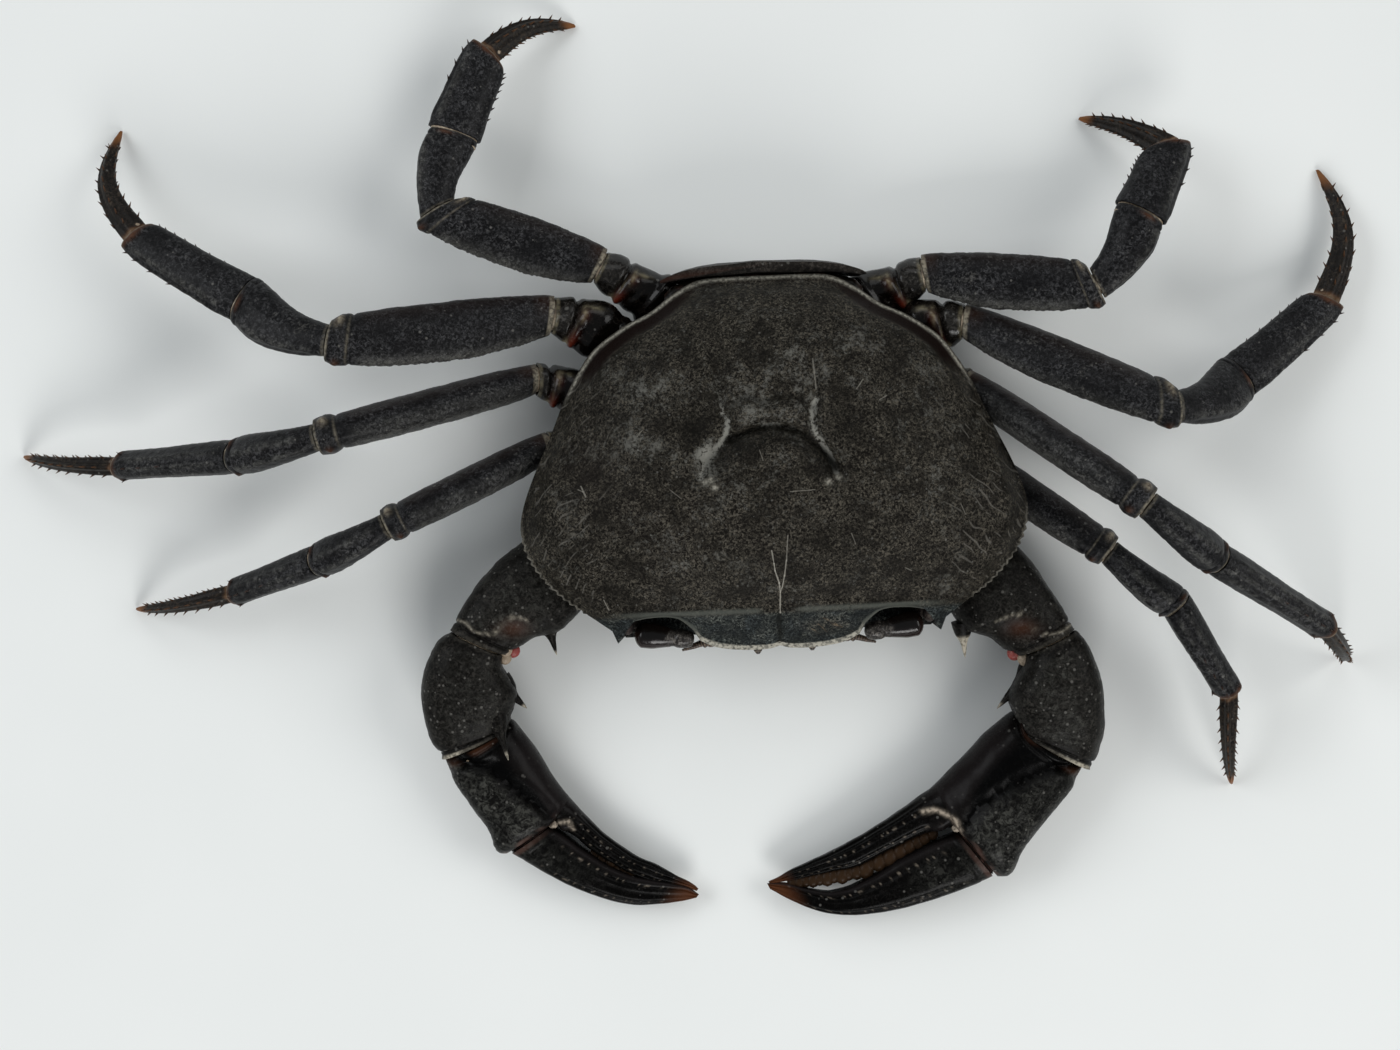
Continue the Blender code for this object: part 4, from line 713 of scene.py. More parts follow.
def shell_top(edge):
    """Rings of the back from its middle to its edge, and how far each point lies in from the edge."""
    inner = smooth_closed(edge, 4, 18)
    shares = np.concatenate([np.linspace(0.012, 0.90, 74), np.linspace(0.90, 0.985, 17)[1:],
                             np.linspace(0.985, 1, 7)[1:]])
    mix = np.maximum(0, (shares - 0.5) / 0.5)[:, None, None] ** 3
    target = inner[None] * (1 - mix) + edge[None] * mix
    top = SHELL_CENTRE + (target - SHELL_CENTRE) * shares[:, None, None]
    radius = np.linalg.norm((edge - SHELL_CENTRE)[:, :2], axis=1)
    inset = (1 - shares)[:, None] * radius[None]
    bead_rise = rear_rim(top, inset)
    blend = np.maximum(0, (shares - 0.92) / 0.08)[:, None] ** 2
    level = 1 - blend
    domed = shell_height(top[..., 0], top[..., 1]) + bead_rise
    top[..., 2] = domed * level + (edge[None, :, 2] + bead_rise) * blend
    uneven = 0.20 * swirl(top, 6.0, 1) + 0.10 * swirl(top, 2.6, 2) + 0.05 * swirl(top, 1.0, 3)
    top[..., 2] += level * uneven
    return top, inset


def shell_flank(edge, in_orbit):
    """Rings of the shell from its edge down and in, with the floors of the eye sockets."""
    side = abs(edge[:, 0])
    ahead = edge[:, 1] < -19
    below = edge.copy()
    below[(side < ORBIT_REACH[1]) & ahead, 1] = LOWER_FRONT
    below[(side > 9.6) & (side < ORBIT_REACH[1]) & ahead, 1] = SOCKET_FRONT
    levelled = smooth_closed(below, 3, 14)
    stack = [edge]
    for step, (share, drop) in enumerate(FLANK):
        source = levelled if step > 3 else below.copy()
        if step < 2:
            source[in_orbit] = edge[in_orbit]
        ring = SHELL_CENTRE + (source - SHELL_CENTRE) * share
        ring[:, 2] = edge[:, 2] + (SHELL_BOTTOM - edge[:, 2]) * drop
        if step in SOCKET_STEPS:
            ring[in_orbit, 2] = ORBIT_FLOOR + SOCKET_STEPS[step]
        stack.append(ring)
    rows = np.column_stack([np.arange(len(stack)), np.array(stack).reshape(len(stack), -1)])
    under = eased(rows, np.linspace(0.12, len(stack) - 1, FLANK_RINGS)).reshape(FLANK_RINGS, len(edge), 3)
    return under + 0.05 * swirl(under, 1.4, 3)[..., None] * unit([0, 0, -1])


def make_carapace(material):
    """Carapace: domed back, front, eye sockets, flanks turned in below and cheeks."""
    edge = shell_outline()
    side = abs(edge[:, 0])
    in_orbit = (side > ORBIT_REACH[0]) & (side < ORBIT_REACH[1]) & (edge[:, 1] < -19)
    top, inset = shell_top(edge)
    under = shell_flank(edge, in_orbit)
    tones = shell_tones(top[..., 0], top[..., 1], inset)
    flank = {name: np.zeros(under.shape[:2]) for name in tones}
    flank["front"] += 1.0
    flank["pale"][:3] = 0.95 * (side < 11.0) * (edge[:, 1] < -22)
    flank["brown"] += 0.5 * in_orbit * (side > 17)
    masks = {name: np.concatenate([tones[name], flank[name]]) for name in tones}
    bm = rolled(np.concatenate([top, under]), masks)
    heights = np.linspace(CHEEK[0][0], CHEEK[-1][0], CHEEK_RINGS)
    levels = eased([(-row[0], *row[1:]) for row in CHEEK], -heights)
    for mirror in (1, -1):
        centres = np.column_stack([levels[:, 0] * mirror, levels[:, 1], heights])
        cheek, outward = sections(centres, np.array([1, 0, 0]), np.array([0, 1, 0]), levels[:, 2],
                                  levels[:, 3], 30)
        cheek += outward * 0.08 * swirl(cheek, 1.2, 4)[..., None]
        rolled(cheek, {"front": np.ones(cheek.shape[:2])}, bm)
        for place, stretch in SOCKET_WALL:
            bead(bm, np.array(place) * (mirror, 1, 1), 1.0, "wall", 0.9, stretch=stretch, detail=3)
    return piece(bm, "shell", ["carapace"], material, angle=60)


# Underside and head

def make_sternum(material):
    """Breastplate: flat below, with a channel for the tail and seams between its plates."""
    channel_end = TAIL_PATH[-1][0] - 0.3
    stops = np.concatenate([np.linspace(STERNUM[0][0], channel_end, 96), [channel_end - 0.3],
                            np.linspace(channel_end - 0.9, STERNUM[-1][0], 16)])
    sides = sorted(STERNUM)
    half = np.interp(stops, [row[0] for row in sides], [row[1] for row in sides])
    tail = sorted((row[0], row[2]) for row in TAIL_PATH[5:])
    trough = np.interp(stops, [row[0] for row in tail], [row[1] for row in tail]) + CHANNEL_GAP
    roof = np.where(stops == stops[0], 3.4, TAIL_THICK + 1.1)
    ahead = stops < channel_end - 0.1
    trough[ahead] = 0.9
    roof[ahead] = 0.25
    flat = 0 * stops
    right = [(trough - 0.25, roof), (trough, roof - 0.2), (trough, flat), (half - 1.6, flat),
             (half, flat + 1.6), (half, flat + 7.6), (half - 1.5, flat + STERNUM_TOP),
             (half * 0.4, flat + STERNUM_TOP)]
    corners = np.array(right + [(-x, z) for x, z in reversed(right)]).transpose(2, 0, 1)
    share = (np.arange(6) / 6)[:, None]
    fine = corners[:, :, None] * (1 - share) + np.roll(corners, -1, axis=1)[:, :, None] * share
    fine = fine.reshape(len(stops), -1, 2)
    fine = (np.roll(fine, 1, axis=1) + fine * 2 + np.roll(fine, -1, axis=1)) / 4
    y = np.repeat(stops[:, None], fine.shape[1], axis=1)
    rings = np.stack([fine[..., 0], y, fine[..., 1]], axis=2)
    groove = sum(hump(y, seam + 0.02 * abs(fine[..., 0]), 0.30) for seam in SUTURES)
    below = 1 - ramp(fine[..., 1], 0.4, 1.4)
    rings[..., 2] += 0.35 * groove * below * (abs(fine[..., 0]) > trough[:, None] + 0.6)
    slant = (MOUTH_HEAD[1] - MOUTH_FOOT[1]) / (MOUTH_HEAD[2] - MOUTH_FOOT[2])
    rings[-1, :, 1] += (rings[-1, :, 2] - 1.2) * slant
    bm = rolled(rings, {"brown": np.clip(groove * below, 0, 1)})
    return piece(bm, "breastplate", ["sternum"], material, angle=35)


def make_abdomen(material):
    """Tail: a band behind the carapace that folds forward under the belly, with its seams."""
    path = np.array(TAIL_PATH)
    walk = np.concatenate([[0], np.cumsum(np.linalg.norm(np.diff(path[:, :2], axis=0), axis=1))])
    rows = np.column_stack([walk / walk[-1], path])
    share = np.concatenate([np.linspace(0, 0.2, 60), np.linspace(0.2, 1, 110)[1:]])
    y, z, half = eased(rows, share).T
    along = np.gradient(np.column_stack([0 * y, y, z]), axis=0)
    along /= np.linalg.norm(along, axis=1, keepdims=True)
    out = np.cross([1, 0, 0], along)[:, None]
    thick = TAIL_THICK * (1 - 0.2 * (1 - ramp(share, 0, 0.02)) - 0.2 * ramp(share, 0.97, 1))
    centres = np.column_stack([0 * y, y, z])
    round_end, outward = sections(centres, np.array([1.0, 0, 0]), out, half, thick, 72, power=2.5)
    square_end, _ = sections(centres, np.array([1.0, 0, 0]), out, half, thick, 72, power=3.6)
    blend = ramp(share, 0.12, 0.3)[:, None, None]
    rings = round_end * (1 - blend) + square_end * blend
    u = share[:, None]
    seam = sum(hump(u, line, 0.0055) for line in TAIL_SEAMS)
    lip = sum(hump(u, line - 0.013, 0.007) for line in TAIL_SEAMS)
    rings += outward * (0.14 * lip - 0.24 * seam + 0.05 * swirl(rings, 1.3, 8))[..., None]
    bow = TAIL_BOW * (1 - ramp(u, 0.05, 0.16))
    knoll = hump(rings[..., 0], -0.8, 2.6) * (1 - ramp(u, 0.01, 0.05))
    rings[..., 1] += 0.25 * knoll - bow * abs(rings[..., 0] / half[:, None]) ** 4
    rings[..., 2] = np.maximum(rings[..., 2], 0)
    # The band is lightened along its rear-facing top edge and on the knoll: a painted highlight.
    outer = (1 - ramp(u, 0.004, 0.02)) * ramp(outward[..., 1], -0.2, 0.6)
    bm = rolled(rings, {"brown": np.clip(seam, 0, 1), "wear_and_highlight": np.clip(1.2 * outer + 0.6 * knoll, 0, 1),
                        "pale": 0.25 * np.clip(lip, 0, 1) * ramp(u, 0.16, 0.2)})
    x = np.linspace(-TAIL_BAR_HALF, TAIL_BAR_HALF, 60)
    bar = np.column_stack([x, TAIL_BAR_Y - 1.9 * abs(x / TAIL_BAR_HALF) ** 3, np.full(60, TAIL_BAR_HEIGHT)])
    deep = 1.25 * (1 - 0.5 * ramp(abs(x), TAIL_BAR_HALF - 1, TAIL_BAR_HALF))
    rings, _ = sections(bar, np.array([0, 1.0, 0]), np.array([0, 0, 1.0]), deep, deep, 24)
    rolled(rings, {"brown": np.clip(swirl(rings, 1.5, 40), 0, 1)}, bm)
    return piece(bm, "tail_band", ["abdomen"], material)


def make_eye(side, mirror, material):
    """Eye: spotted stalk, narrow neck and the rounded cornea."""
    inner = EYE_INNER * (mirror, 1, 1)
    outer = EYE_OUTER * (mirror, 1, 1)
    along = unit(outer - inner)
    across = unit(np.cross(along, [0, 0, 1]))
    up = np.cross(across, along)
    share = 0.5 - 0.5 * np.cos(np.linspace(0, math.pi, 66))
    radius = eased(EYE_FORM, share)[:, 0]
    centres = inner + (outer - inner) * share[:, None]
    rings, outward = sections(centres, across, up, radius, radius, EYE_SIDES, power=2.0)
    cornea = ramp(share + 0.03 * np.sin(3 * turns(EYE_SIDES))[None].T, 0.40, 0.47).T
    rings += outward * (0.05 * (1 - cornea) * swirl(rings, 0.7, 9))[..., None]
    bm = rolled(rings, {"cornea": cornea, "brown": 1 - cornea})
    return piece(bm, "eye_ball_" + side, ["eye_" + side], material)


def feeler(bm, root, along, form):
    """Jointed feeler: rings of a table of distances and radii."""
    across = unit(np.cross(along, [0, 0, 1]))
    up = np.cross(across, along)
    distance = np.linspace(0, form[-1][0], 40)
    radius = eased(form, distance)[:, 0]
    rings, _ = sections(root + along * distance[:, None], across, up, radius, radius, FEELER_SIDES,
                        power=2.0)
    joints = np.clip(np.sin(distance * 9) ** 8, 0, 1)[:, None] * np.ones((1, FEELER_SIDES))
    return rolled(rings, {"pale": 0.6 * joints}, bm)


def make_antenna(side, mirror, material):
    """Antenna: two stout joints and a short ringed whip."""
    root = ANTENNA_ROOT * (mirror, 1, 1)
    along = heading_vector(ANTENNA_HEADING) * (mirror, 1, 1)
    bm = feeler(bmesh.new(), root, along, ANTENNA_FORM)
    return piece(bm, "feeler_" + side, ["antenna_" + side], material)


def make_epistome(material):
    """Bar between the front and the mouth, with the two folded inner feelers."""
    x = np.linspace(EPISTOME[0][0], EPISTOME[-1][0], 60)
    half = eased(EPISTOME, x)[:, 0]
    bulge = 0.6 * (1 - abs(x) / EPISTOME[-1][0])
    centres = np.column_stack([x, EPISTOME_Y - bulge, 0 * x + EPISTOME_HEIGHT])
    rings, outward = sections(centres, np.array([0, 1.0, 0]), np.array([0, 0, 1.0]), half * 0.75, half, 36,
                              power=2.6)
    rings += outward * (0.05 * swirl(rings, 0.8, 10))[..., None]
    bm = rolled(rings)
    along = unit([0, -1, 0.3])
    for root in ANTENNULE_ROOTS:
        feeler(bm, np.array(root) - along * 1.2, along, ANTENNULE_FORM)
    return piece(bm, "mouth_bar", ["epistome"], material)


def make_maxilliped(side, mirror, material):
    """Outer mouthpart: a long plate and a shorter one above it, with the groove along it."""
    along = MOUTH_HEAD - MOUTH_FOOT
    out = np.cross([mirror, 0, 0], unit(along)) * mirror
    share = np.linspace(0, 1, 72)
    width = eased(MOUTH_FORM, share)[:, 0]
    half = MOUTH_HALF * width
    centres = MOUTH_FOOT + along * share[:, None]
    centres[:, 0] += mirror * (half + 0.16)
    thick = 0.95 * (0.55 + 0.45 * width)
    rings, outward = sections(centres, np.array([1.0, 0, 0]), out, half, thick, 48, power=3.2)
    front = np.sin(turns(48))[None] ** 2
    place = (rings[..., 0] * mirror - 0.16) / MOUTH_HALF
    u = share[:, None]
    groove = hump(place, 0.62 - 0.15 * u, 0.07) * (u < 0.62) * (u > 0.08)
    relief = -0.22 * groove * front - 0.30 * hump(u, 0.66, 0.013) + 0.04 * swirl(rings, 0.9, 11)
    rings += outward * relief[..., None]
    edge = hump(u, 0.64, 0.012) * front
    bm = rolled(rings, {"pale": np.clip(edge, 0, 1), "brown": groove * front})
    return piece(bm, "mouth_plate_" + side, ["maxilliped_" + side], material)


# Limbs

def fitted(rings, centres, distance, length, direction, start, end):
    """Cut limb rings off at the planes of their joints, leaving half the gap at each."""
    rings = rings.copy()
    for plane, away, sign in ((start, distance, 1), (end, length - distance, -1)):
        if plane is None:
            continue
        slope = direction @ plane[1]
        share = np.maximum(0, 1 - away / (0.55 * length)) ** 1.5
        shift = ((rings - centres[:, None]) @ plane[1]) / slope * share[:, None]
        rings -= shift[..., None] * direction
        rings += direction * (sign * JOINT_GAP / slope * np.maximum(0, 1 - away / length))[:, None, None]
    rings[..., 2] = np.maximum(rings[..., 2], 0.0)
    return rings


def bend_plane(place, before, after):
    """Plane that splits the bend at a joint."""
    return place, unit(before + after)


def near_angle(sides, centre, width):
    """Smooth hump round one angle of a section, in degrees."""
    away = (np.degrees(turns(sides)) - centre + 180) % 360 - 180
    return np.exp(-(away / width) ** 2)[None]


def sleeve(bm, place, before, after, frames, tall, wide, reach=1.7):
    """Soft folded skin inside a joint."""
    t = np.linspace(-1, 1, 13)
    mixed = ((1 + t) / 2)[:, None]
    centres = place + before * np.minimum(t, 0)[:, None] * reach + after * np.maximum(t, 0)[:, None] * reach
    across = frames[0][0] * (1 - mixed) + frames[1][0] * mixed
    up = frames[0][1] * (1 - mixed) + frames[1][1] * mixed
    fold = 0.90 + 0.07 * np.cos(t * 9)
    rings, _ = sections(centres, across[:, None], up[:, None], wide * fold, tall * fold, 28)
    rings[..., 2] = np.maximum(rings[..., 2], 0.05)
    rolled(rings, bm=bm)


def make_base(name, limb, hip, next_direction, half_up, half_across, lean, mirror, material):
    """First joints of a limb, from the breastplate to the start of the merus."""
    (x, y), heading = SOCKET[limb]
    outward_way = heading_vector(heading) * (mirror, 1, 1)
    start = np.array([x * mirror, y, SOCKET_HEIGHT]) + outward_way * 0.15
    reach = np.asarray(hip, float) - start
    length = np.linalg.norm(reach)
    direction = reach / length
    tilt = lean * 0.5
    across, up = frame_of(direction, tilt, mirror)
    form = BASE_FORM + [(1, half_up * 0.66, half_across * 0.85)]
    swell = BASE_SWELL.get(limb, (0,) * len(form))
    share = np.linspace(0, 1, 64)
    tall, wide, push = eased([(*row, s) for row, s in zip(form, swell)], share).T
    centres = start + reach * share[:, None]
    rings, outward = sections(centres - across * push[:, None], across, up, wide + push, tall, LEG_SIDES)

    def facing(angle, width):
        return near_angle(LEG_SIDES, angle + tilt, width)

    away = share[:, None] * length - (length - ROOT_JOINT[limb])
    front = facing(26, 27)
    knob = hump(away, -0.75, 0.55) * facing(104, 17)
    relief = 0.10 * swirl(rings, 1.8, 12) + 0.05 * swirl(rings, 0.6, 13) + 0.16 * swirl(rings, 3.0, 41)
    relief += -0.55 * hump(away, 0.35, 0.34) * (1 - 0.9 * front) + 0.42 * hump(away, -3.2, 1.9)
    relief += 0.50 * hump(away, -0.35, 0.60) * front - 0.30 * hump(away, -1.35, 0.28) * front
    relief += 0.32 * knob - 0.30 * hump(away, -1.9, 0.5) * facing(62, 12)
    rings += outward * relief[..., None]
    rings = fitted(rings, centres, share * length, length, direction, (start, outward_way),
                   bend_plane(hip, direction, next_direction))
    cream = 0.50 * hump(away, -0.60, 0.28) * facing(110, 20) + 0.35 * hump(away, -1.7, 0.9) * facing(128, 7)
    cream += 0.95 * hump(away, 0.62, 0.36) * facing(14, 17) + 0.30 * hump(away, 0.0, 0.10) * facing(60, 30)
    rim = 0.25 * ramp(away, ROOT_JOINT[limb] - 0.45, ROOT_JOINT[limb] - 0.3)
    masks = {"brown": hump(away, -0.35, 0.62) * front + 0.25 * knob, "pale": cream + rim,
             "wear_and_highlight": 0.8 * ramp(away, 0.3, 0.7) * facing(95, 60)}
    piece(lipped_shell(rings, masks), name + "_shell", [name], material)
    return direction, across, up


def merus_skin(u, points, lean):
    """Relief and tones of a leg merus: toothed crest, rough sides, seam ring and hinge knobs."""
    sides = points.shape[1]
    crest = near_angle(sides, 90, 22)
    lower = near_angle(sides, 272, 15)
    upper = near_angle(sides, 90 + lean, 75)
    edge = near_angle(sides, 20 + lean, 26)
    wrinkles = ramp(swirl(points, 0.42, 14), -0.25, 0.45)
    along = (1 - ramp(u, 0.84, 0.88)) * ramp(u, 0.02, 0.07)
    knob = hump(u, 0.960, 0.018) * near_angle(sides, 140 + lean, 14)
    fore = hump(u, 0.957, 0.015) * near_angle(sides, 30 + lean, 13)
    relief = ((0.12 * crest + 0.07 * lower) * (wrinkles - 0.45) + 0.07 * edge * (wrinkles - 0.5)) * along
    relief += 0.08 * swirl(points, 1.6, 15) + 0.04 * swirl(points, 0.45, 16)
    relief += 0.05 * hump(u, 0.925, 0.012) - 0.16 * hump(u, 0.905, 0.007) + 0.42 * knob + 0.30 * fore
    pale = 0.30 * hump(u, 0.915, 0.0050) + 0.5 * ramp(u, 0.988, 0.997) + 0.75 * (1 - ramp(u, 0.016, 0.028))
    rust = 0.20 * (1 - ramp(u, 0.03, 0.12)) * near_angle(sides, 140 + lean, 35)
    rust = rust + 0.06 * near_angle(sides, 150 + lean, 22) * along
    return relief, {"pale": pale * upper + 0.8 * knob, "brown": 0.3 * knob + 0.6 * fore + rust,
                    "wear_and_highlight": (0.30 * crest + 0.9 * edge) * along}


def carpus_skin(u, points, lean):
    """Relief and tones of a leg carpus: two long ridges with a hollow between, and a pale rim."""
    sides = points.shape[1]
    ridge = near_angle(sides, 62, 13) + near_angle(sides, 122, 13)
    hollow = near_angle(sides, 92, 12)
    body = ramp(u, 0.05, 0.2) * (1 - ramp(u, 0.86, 0.93))
    knob = hump(u, 0.965, 0.022) * (near_angle(sides, 160, 15) + near_angle(sides, 20, 15))
    relief = (0.20 * ridge - 0.16 * hollow) * body + 0.30 * knob - 0.20 * hump(u, 0.925, 0.014)
    relief += 0.05 * swirl(points, 1.0, 17) + 0.04 * swirl(points, 0.4, 18)
    pale = 0.5 * ramp(u, 0.982, 0.994) * near_angle(sides, 90, 80) + 0.25 * (1 - ramp(u, 0.01, 0.03))
    grain = np.clip(0.5 + swirl(points, 0.7, 19), 0, 1)
    return relief, {"pale": pale, "brown": 0.8 * knob, "wear_and_highlight": ridge * body * grain}


def propodus_skin(u, points, lean):
    """Relief and tones of a leg propodus: pale long ridges and brown corners at its end."""
    sides = points.shape[1]
    ridge = near_angle(sides, 48, 10) + near_angle(sides, 90, 9) + near_angle(sides, 132, 10)
    body = ramp(u, 0.03, 0.15) * (1 - ramp(u, 0.88, 0.95))
    knob = hump(u, 0.965, 0.02) * (near_angle(sides, 165, 17) + near_angle(sides, 15, 17))
    relief = (0.17 * ridge - 0.10 * near_angle(sides, 110, 8)) * body + 0.28 * knob
    relief += 0.05 * swirl(points, 1.0, 20) + 0.035 * swirl(points, 0.4, 21)
    grain = np.clip(0.45 + swirl(points, 0.6, 22), 0, 1)
    return relief, {"pale": 0.4 * ramp(u, 0.988, 0.998), "brown": ramp(u, 0.95, 0.99) * 0.6 + 0.8 * knob,
                    "wear_and_highlight": ridge * body * grain}


def dactylus_skin(u, points, lean):
    """Relief and tones of a leg dactylus: five ridges and a horn-coloured tip."""
    ridges = np.cos(5 * (turns(points.shape[1]) - math.radians(90)))[None]
    relief = 0.17 * ridges * (1 - 0.7 * u) + 0.03 * swirl(points, 0.6, 23)
    wear_and_highlight = np.clip(ridges - 0.55, 0, 1) * 0.8 * np.clip(0.6 + swirl(points, 0.7, 24), 0, 1)
    brown = ramp(u, 0.80, 0.96) + 0.4 * (1 - ramp(u, 0.01, 0.04))
    return relief, {"pale": 0.5 * (1 - ramp(u, 0.008, 0.02)), "brown": brown, "wear_and_highlight": wear_and_highlight}


# Relief and tones of each leg piece, and where its rings stand along it.
LEG_SKIN = {"merus": merus_skin, "carpus": carpus_skin, "propodus": propodus_skin,
            "dactylus": dactylus_skin}
LEG_STOPS = {"merus": np.concatenate([np.linspace(0, 0.88, 96), np.linspace(0.88, 1, 36)[1:]]),
             "carpus": np.linspace(0, 1, 64),
             "propodus": np.linspace(0, 1, 72),
             "dactylus": np.linspace(0, 1, 64)}
# Rows of spines on a leg piece: angle round it, places along it, length and radius.
SPINE_ROWS = {
    "dactylus": [(angle, np.linspace(0.10, 0.84, 8) + shift, 0.80, 0.21)
                 for angle, shift in ((18, 0.0), (90, 0.03), (162, 0.0), (234, 0.02), (306, 0.02))],
    "propodus": [(272, (0.30, 0.45, 0.58, 0.70, 0.81, 0.91, 0.96), 0.70, 0.20),
                 (90, (0.55, 0.72, 0.86, 0.955), 0.65, 0.19),
                 (20, (0.955,), 0.7, 0.2), (160, (0.955,), 0.7, 0.2)],
}


def leg_spines(bm, name, rings, outward, direction, picker):
    """Small brown spines in rows along the ridges of a leg piece."""
    count, sides = rings.shape[:2]
    for angle, shares, length, radius in SPINE_ROWS.get(name, ()):
        column = int(angle / 360 * sides) % sides
        for share in shares:
            row = int(share * (count - 1))
            size = picker.uniform(0.8, 1.15)
            way = outward[row, column] * 0.8 + direction
            spike(bm, rings[row, column], way, length * size * 1.15, radius)


def make_leg(side, number, mirror, looks):
    """One walking leg, placed joint by joint."""
    picker = random.Random(SEED + number + 10 * mirror)
    lengths, half_up, half_across = LEG_SIZE[number]
    hip, headings, (last_heading, last_bow), leans = LEG_POSE[(side, number)]
    directions = [heading_vector(*turn) for turn in headings]
    joints = [np.array(hip)]
    for length, direction in zip(lengths, directions):
        joints.append(joints[-1] + direction * length)
    fall = math.degrees(math.asin((TIP_HEIGHT - joints[-1][2]) / lengths[3]))
    directions.append(heading_vector(last_heading, fall))
    joints.append(joints[-1] + directions[-1] * lengths[3])
    label = "leg_%s_%d_" % (side, number)
    before, across, up = make_base(label + "base", number, hip, directions[0], half_up, half_across,
                                   leans[0], mirror, looks["base"])
    skins = bmesh.new()
    for k, (name, form) in enumerate(LEG_FORM.items()):
        direction = directions[k]
        length = lengths[k]
        lean = leans[min(k, 1)]
        last_frame = (across, up)
        across, up = frame_of(direction, lean, mirror)
        spread = PADDLE_SPREAD if number == 4 and name == "propodus" else 1.0
        share = LEG_STOPS[name]
        tall, wide = eased(form, share).T
        bow = LEG_BOW.get(name, last_bow) * length * np.sin(math.pi * share)
        centres = joints[k] + direction * (length * share[:, None]) + up * bow[:, None]
        rings, outward = sections(centres, across, up, wide * half_across, tall * half_up * spread,
                                  LEG_SIDES, ridge=0.22)
        relief, masks = LEG_SKIN[name](share[:, None], rings, lean)
        rings = rings + outward * relief[..., None]
        start = bend_plane(joints[k], before, direction)
        end = bend_plane(joints[k + 1], direction, directions[k + 1]) if k < 3 else None
        rings = fitted(rings, centres, share * length, length, direction, start, end)
        sleeve(skins, joints[k], before, direction, (last_frame, (across, up)),
               half_up * form[0][1] * spread * 0.92, half_across * form[0][2] * 0.92)
        bm = lipped_shell(rings, masks, ends=(True, k < 3), top=1.1)
        leg_spines(bm, name, rings, outward, direction, picker)
        kind = "leg_tip" if name == "dactylus" else "leg_shell"
        piece(bm, label + name + "_shell", [label + name], looks[kind])
        before = direction
    piece(skins, label + "joint_skin", [], looks["skin"])


# Claws

Hand = namedtuple("Hand", "side wrist along away step")


def side_of(direction, mirror):
    """Level direction that points away from the body, across a claw segment."""
    flat = unit([direction[0], direction[1], 0])
    return np.array([flat[1], -flat[0], 0]) * -mirror


def claw_rings(table, stops, start, direction, away, sides, absolute):
    """Rings of a claw segment read from its table, with their axis points."""
    inner, outer, height, half = eased(table, stops).T
    axis = start + direction * stops[:, None]
    axis[:, 2] = height if absolute else axis[:, 2] + height
    centres = axis + away * ((inner + outer) / 2)[:, None]
    rings, outward = sections(centres, away, UP, (outer - inner) / 2, half, sides, power=2.4)
    return rings, outward, axis


def arm_skin(u, points, outward, name, side):
    """Relief and tones of the claw's arm: crests, seam, pale rim, and the marks round the elbow."""
    sides = points.shape[1]
    crest = near_angle(sides, 90, 26) + near_angle(sides, 170, 14) + 0.7 * near_angle(sides, 10, 14)
    body = ramp(u, 0.04, 0.15) * (1 - ramp(u, 0.86, 0.93))
    lumps = swirl(points, 0.55, 30)
    top = near_angle(sides, 90, 85)
    end = near_angle(sides, 50, 34) if name == "carpus" else 0.06 * top
    upper = ramp(outward[..., 2], 0.1, 0.5)
    x = points[..., 0]
    y = points[..., 1]
    lines = sum(stroke(x, y, line, 0.17) for line in ELBOW_LINES[side]) * upper
    hollow = spot(x, y, *ELBOW_HOLLOW[side], 1.7, 1.2) * upper
    relief = 0.05 * crest * lumps * body + 0.16 * swirl(points, 2.4, 31) + 0.07 * swirl(points, 0.8, 32)
    relief += 0.12 * lines - 0.26 * hump(u, 0.945, 0.010) - 0.40 * hollow
    pale = 0.95 * ramp(u, 0.965, 0.985) * end + 0.05 * (1 - ramp(u, 0.012, 0.03)) * top + 0.45 * lines
    wear_and_highlight = (0.25 + 0.5 * crest * ramp(lumps, -0.3, 0.5) + 0.25 * swirl(points, 3.5, 36)) * body
    return relief, {"pale": pale, "wear_and_highlight": wear_and_highlight, "brown": 0.36 * hollow}


def blunt_teeth(bm, teeth, edge, table, hand, way):
    """Irregular blunt teeth along the cutting edge of a finger."""
    rows = eased(table, np.array([distance for distance, height in teeth]))
    for (distance, height), row in zip(teeth, rows):
        place = eased(edge, np.array([distance]))[0, 0]
        root = hand.wrist + hand.along * distance + hand.away * (place + way * (0.15 + 0.7 * height))
        root[2] = row[2] + 0.15 * row[3]
        turn = abs(hand.along) * (0.42 + 0.30 * height) + abs(hand.away) * (0.40 + height * 0.85)
        bead(bm, root, 1.0, "tooth", 0.55 + 0.45 * height, stretch=(turn[0], turn[1], 0.30 + 0.62 * height))


def slanted(rings, hand):
    """Slant the hand round the finger joint, so that its outer end lies farther back."""
    from_wrist = rings - hand.wrist
    beyond_hinge = np.maximum(0, from_wrist @ hand.away - HAND_HINGE[hand.side][1])
    near = hump(from_wrist @ hand.along, hand.step, 4.5)
    return rings + (HAND_SLANT[hand.side] * beyond_hinge * near)[..., None] * hand.along


def claw_sleeve(skins, place, before, after, frames, row, tall, wide, reach):
    """Joint skin sized from the first row of the segment that it leads into."""
    _, inner, outer, _, half = row
    middle = place + frames[1][0] * (inner + outer) / 2
    sleeve(skins, middle, before, after, frames, half * tall, (outer - inner) / 2 * wide, reach=reach)


def edged(table, edge, column):
    """A segment's table with one side's edge read from a finer line."""
    line = eased(edge, np.array([row[0] for row in table]))[:, 0]
    return [(*row[:column], float(place), *row[column + 1:]) for row, place in zip(table, line)]


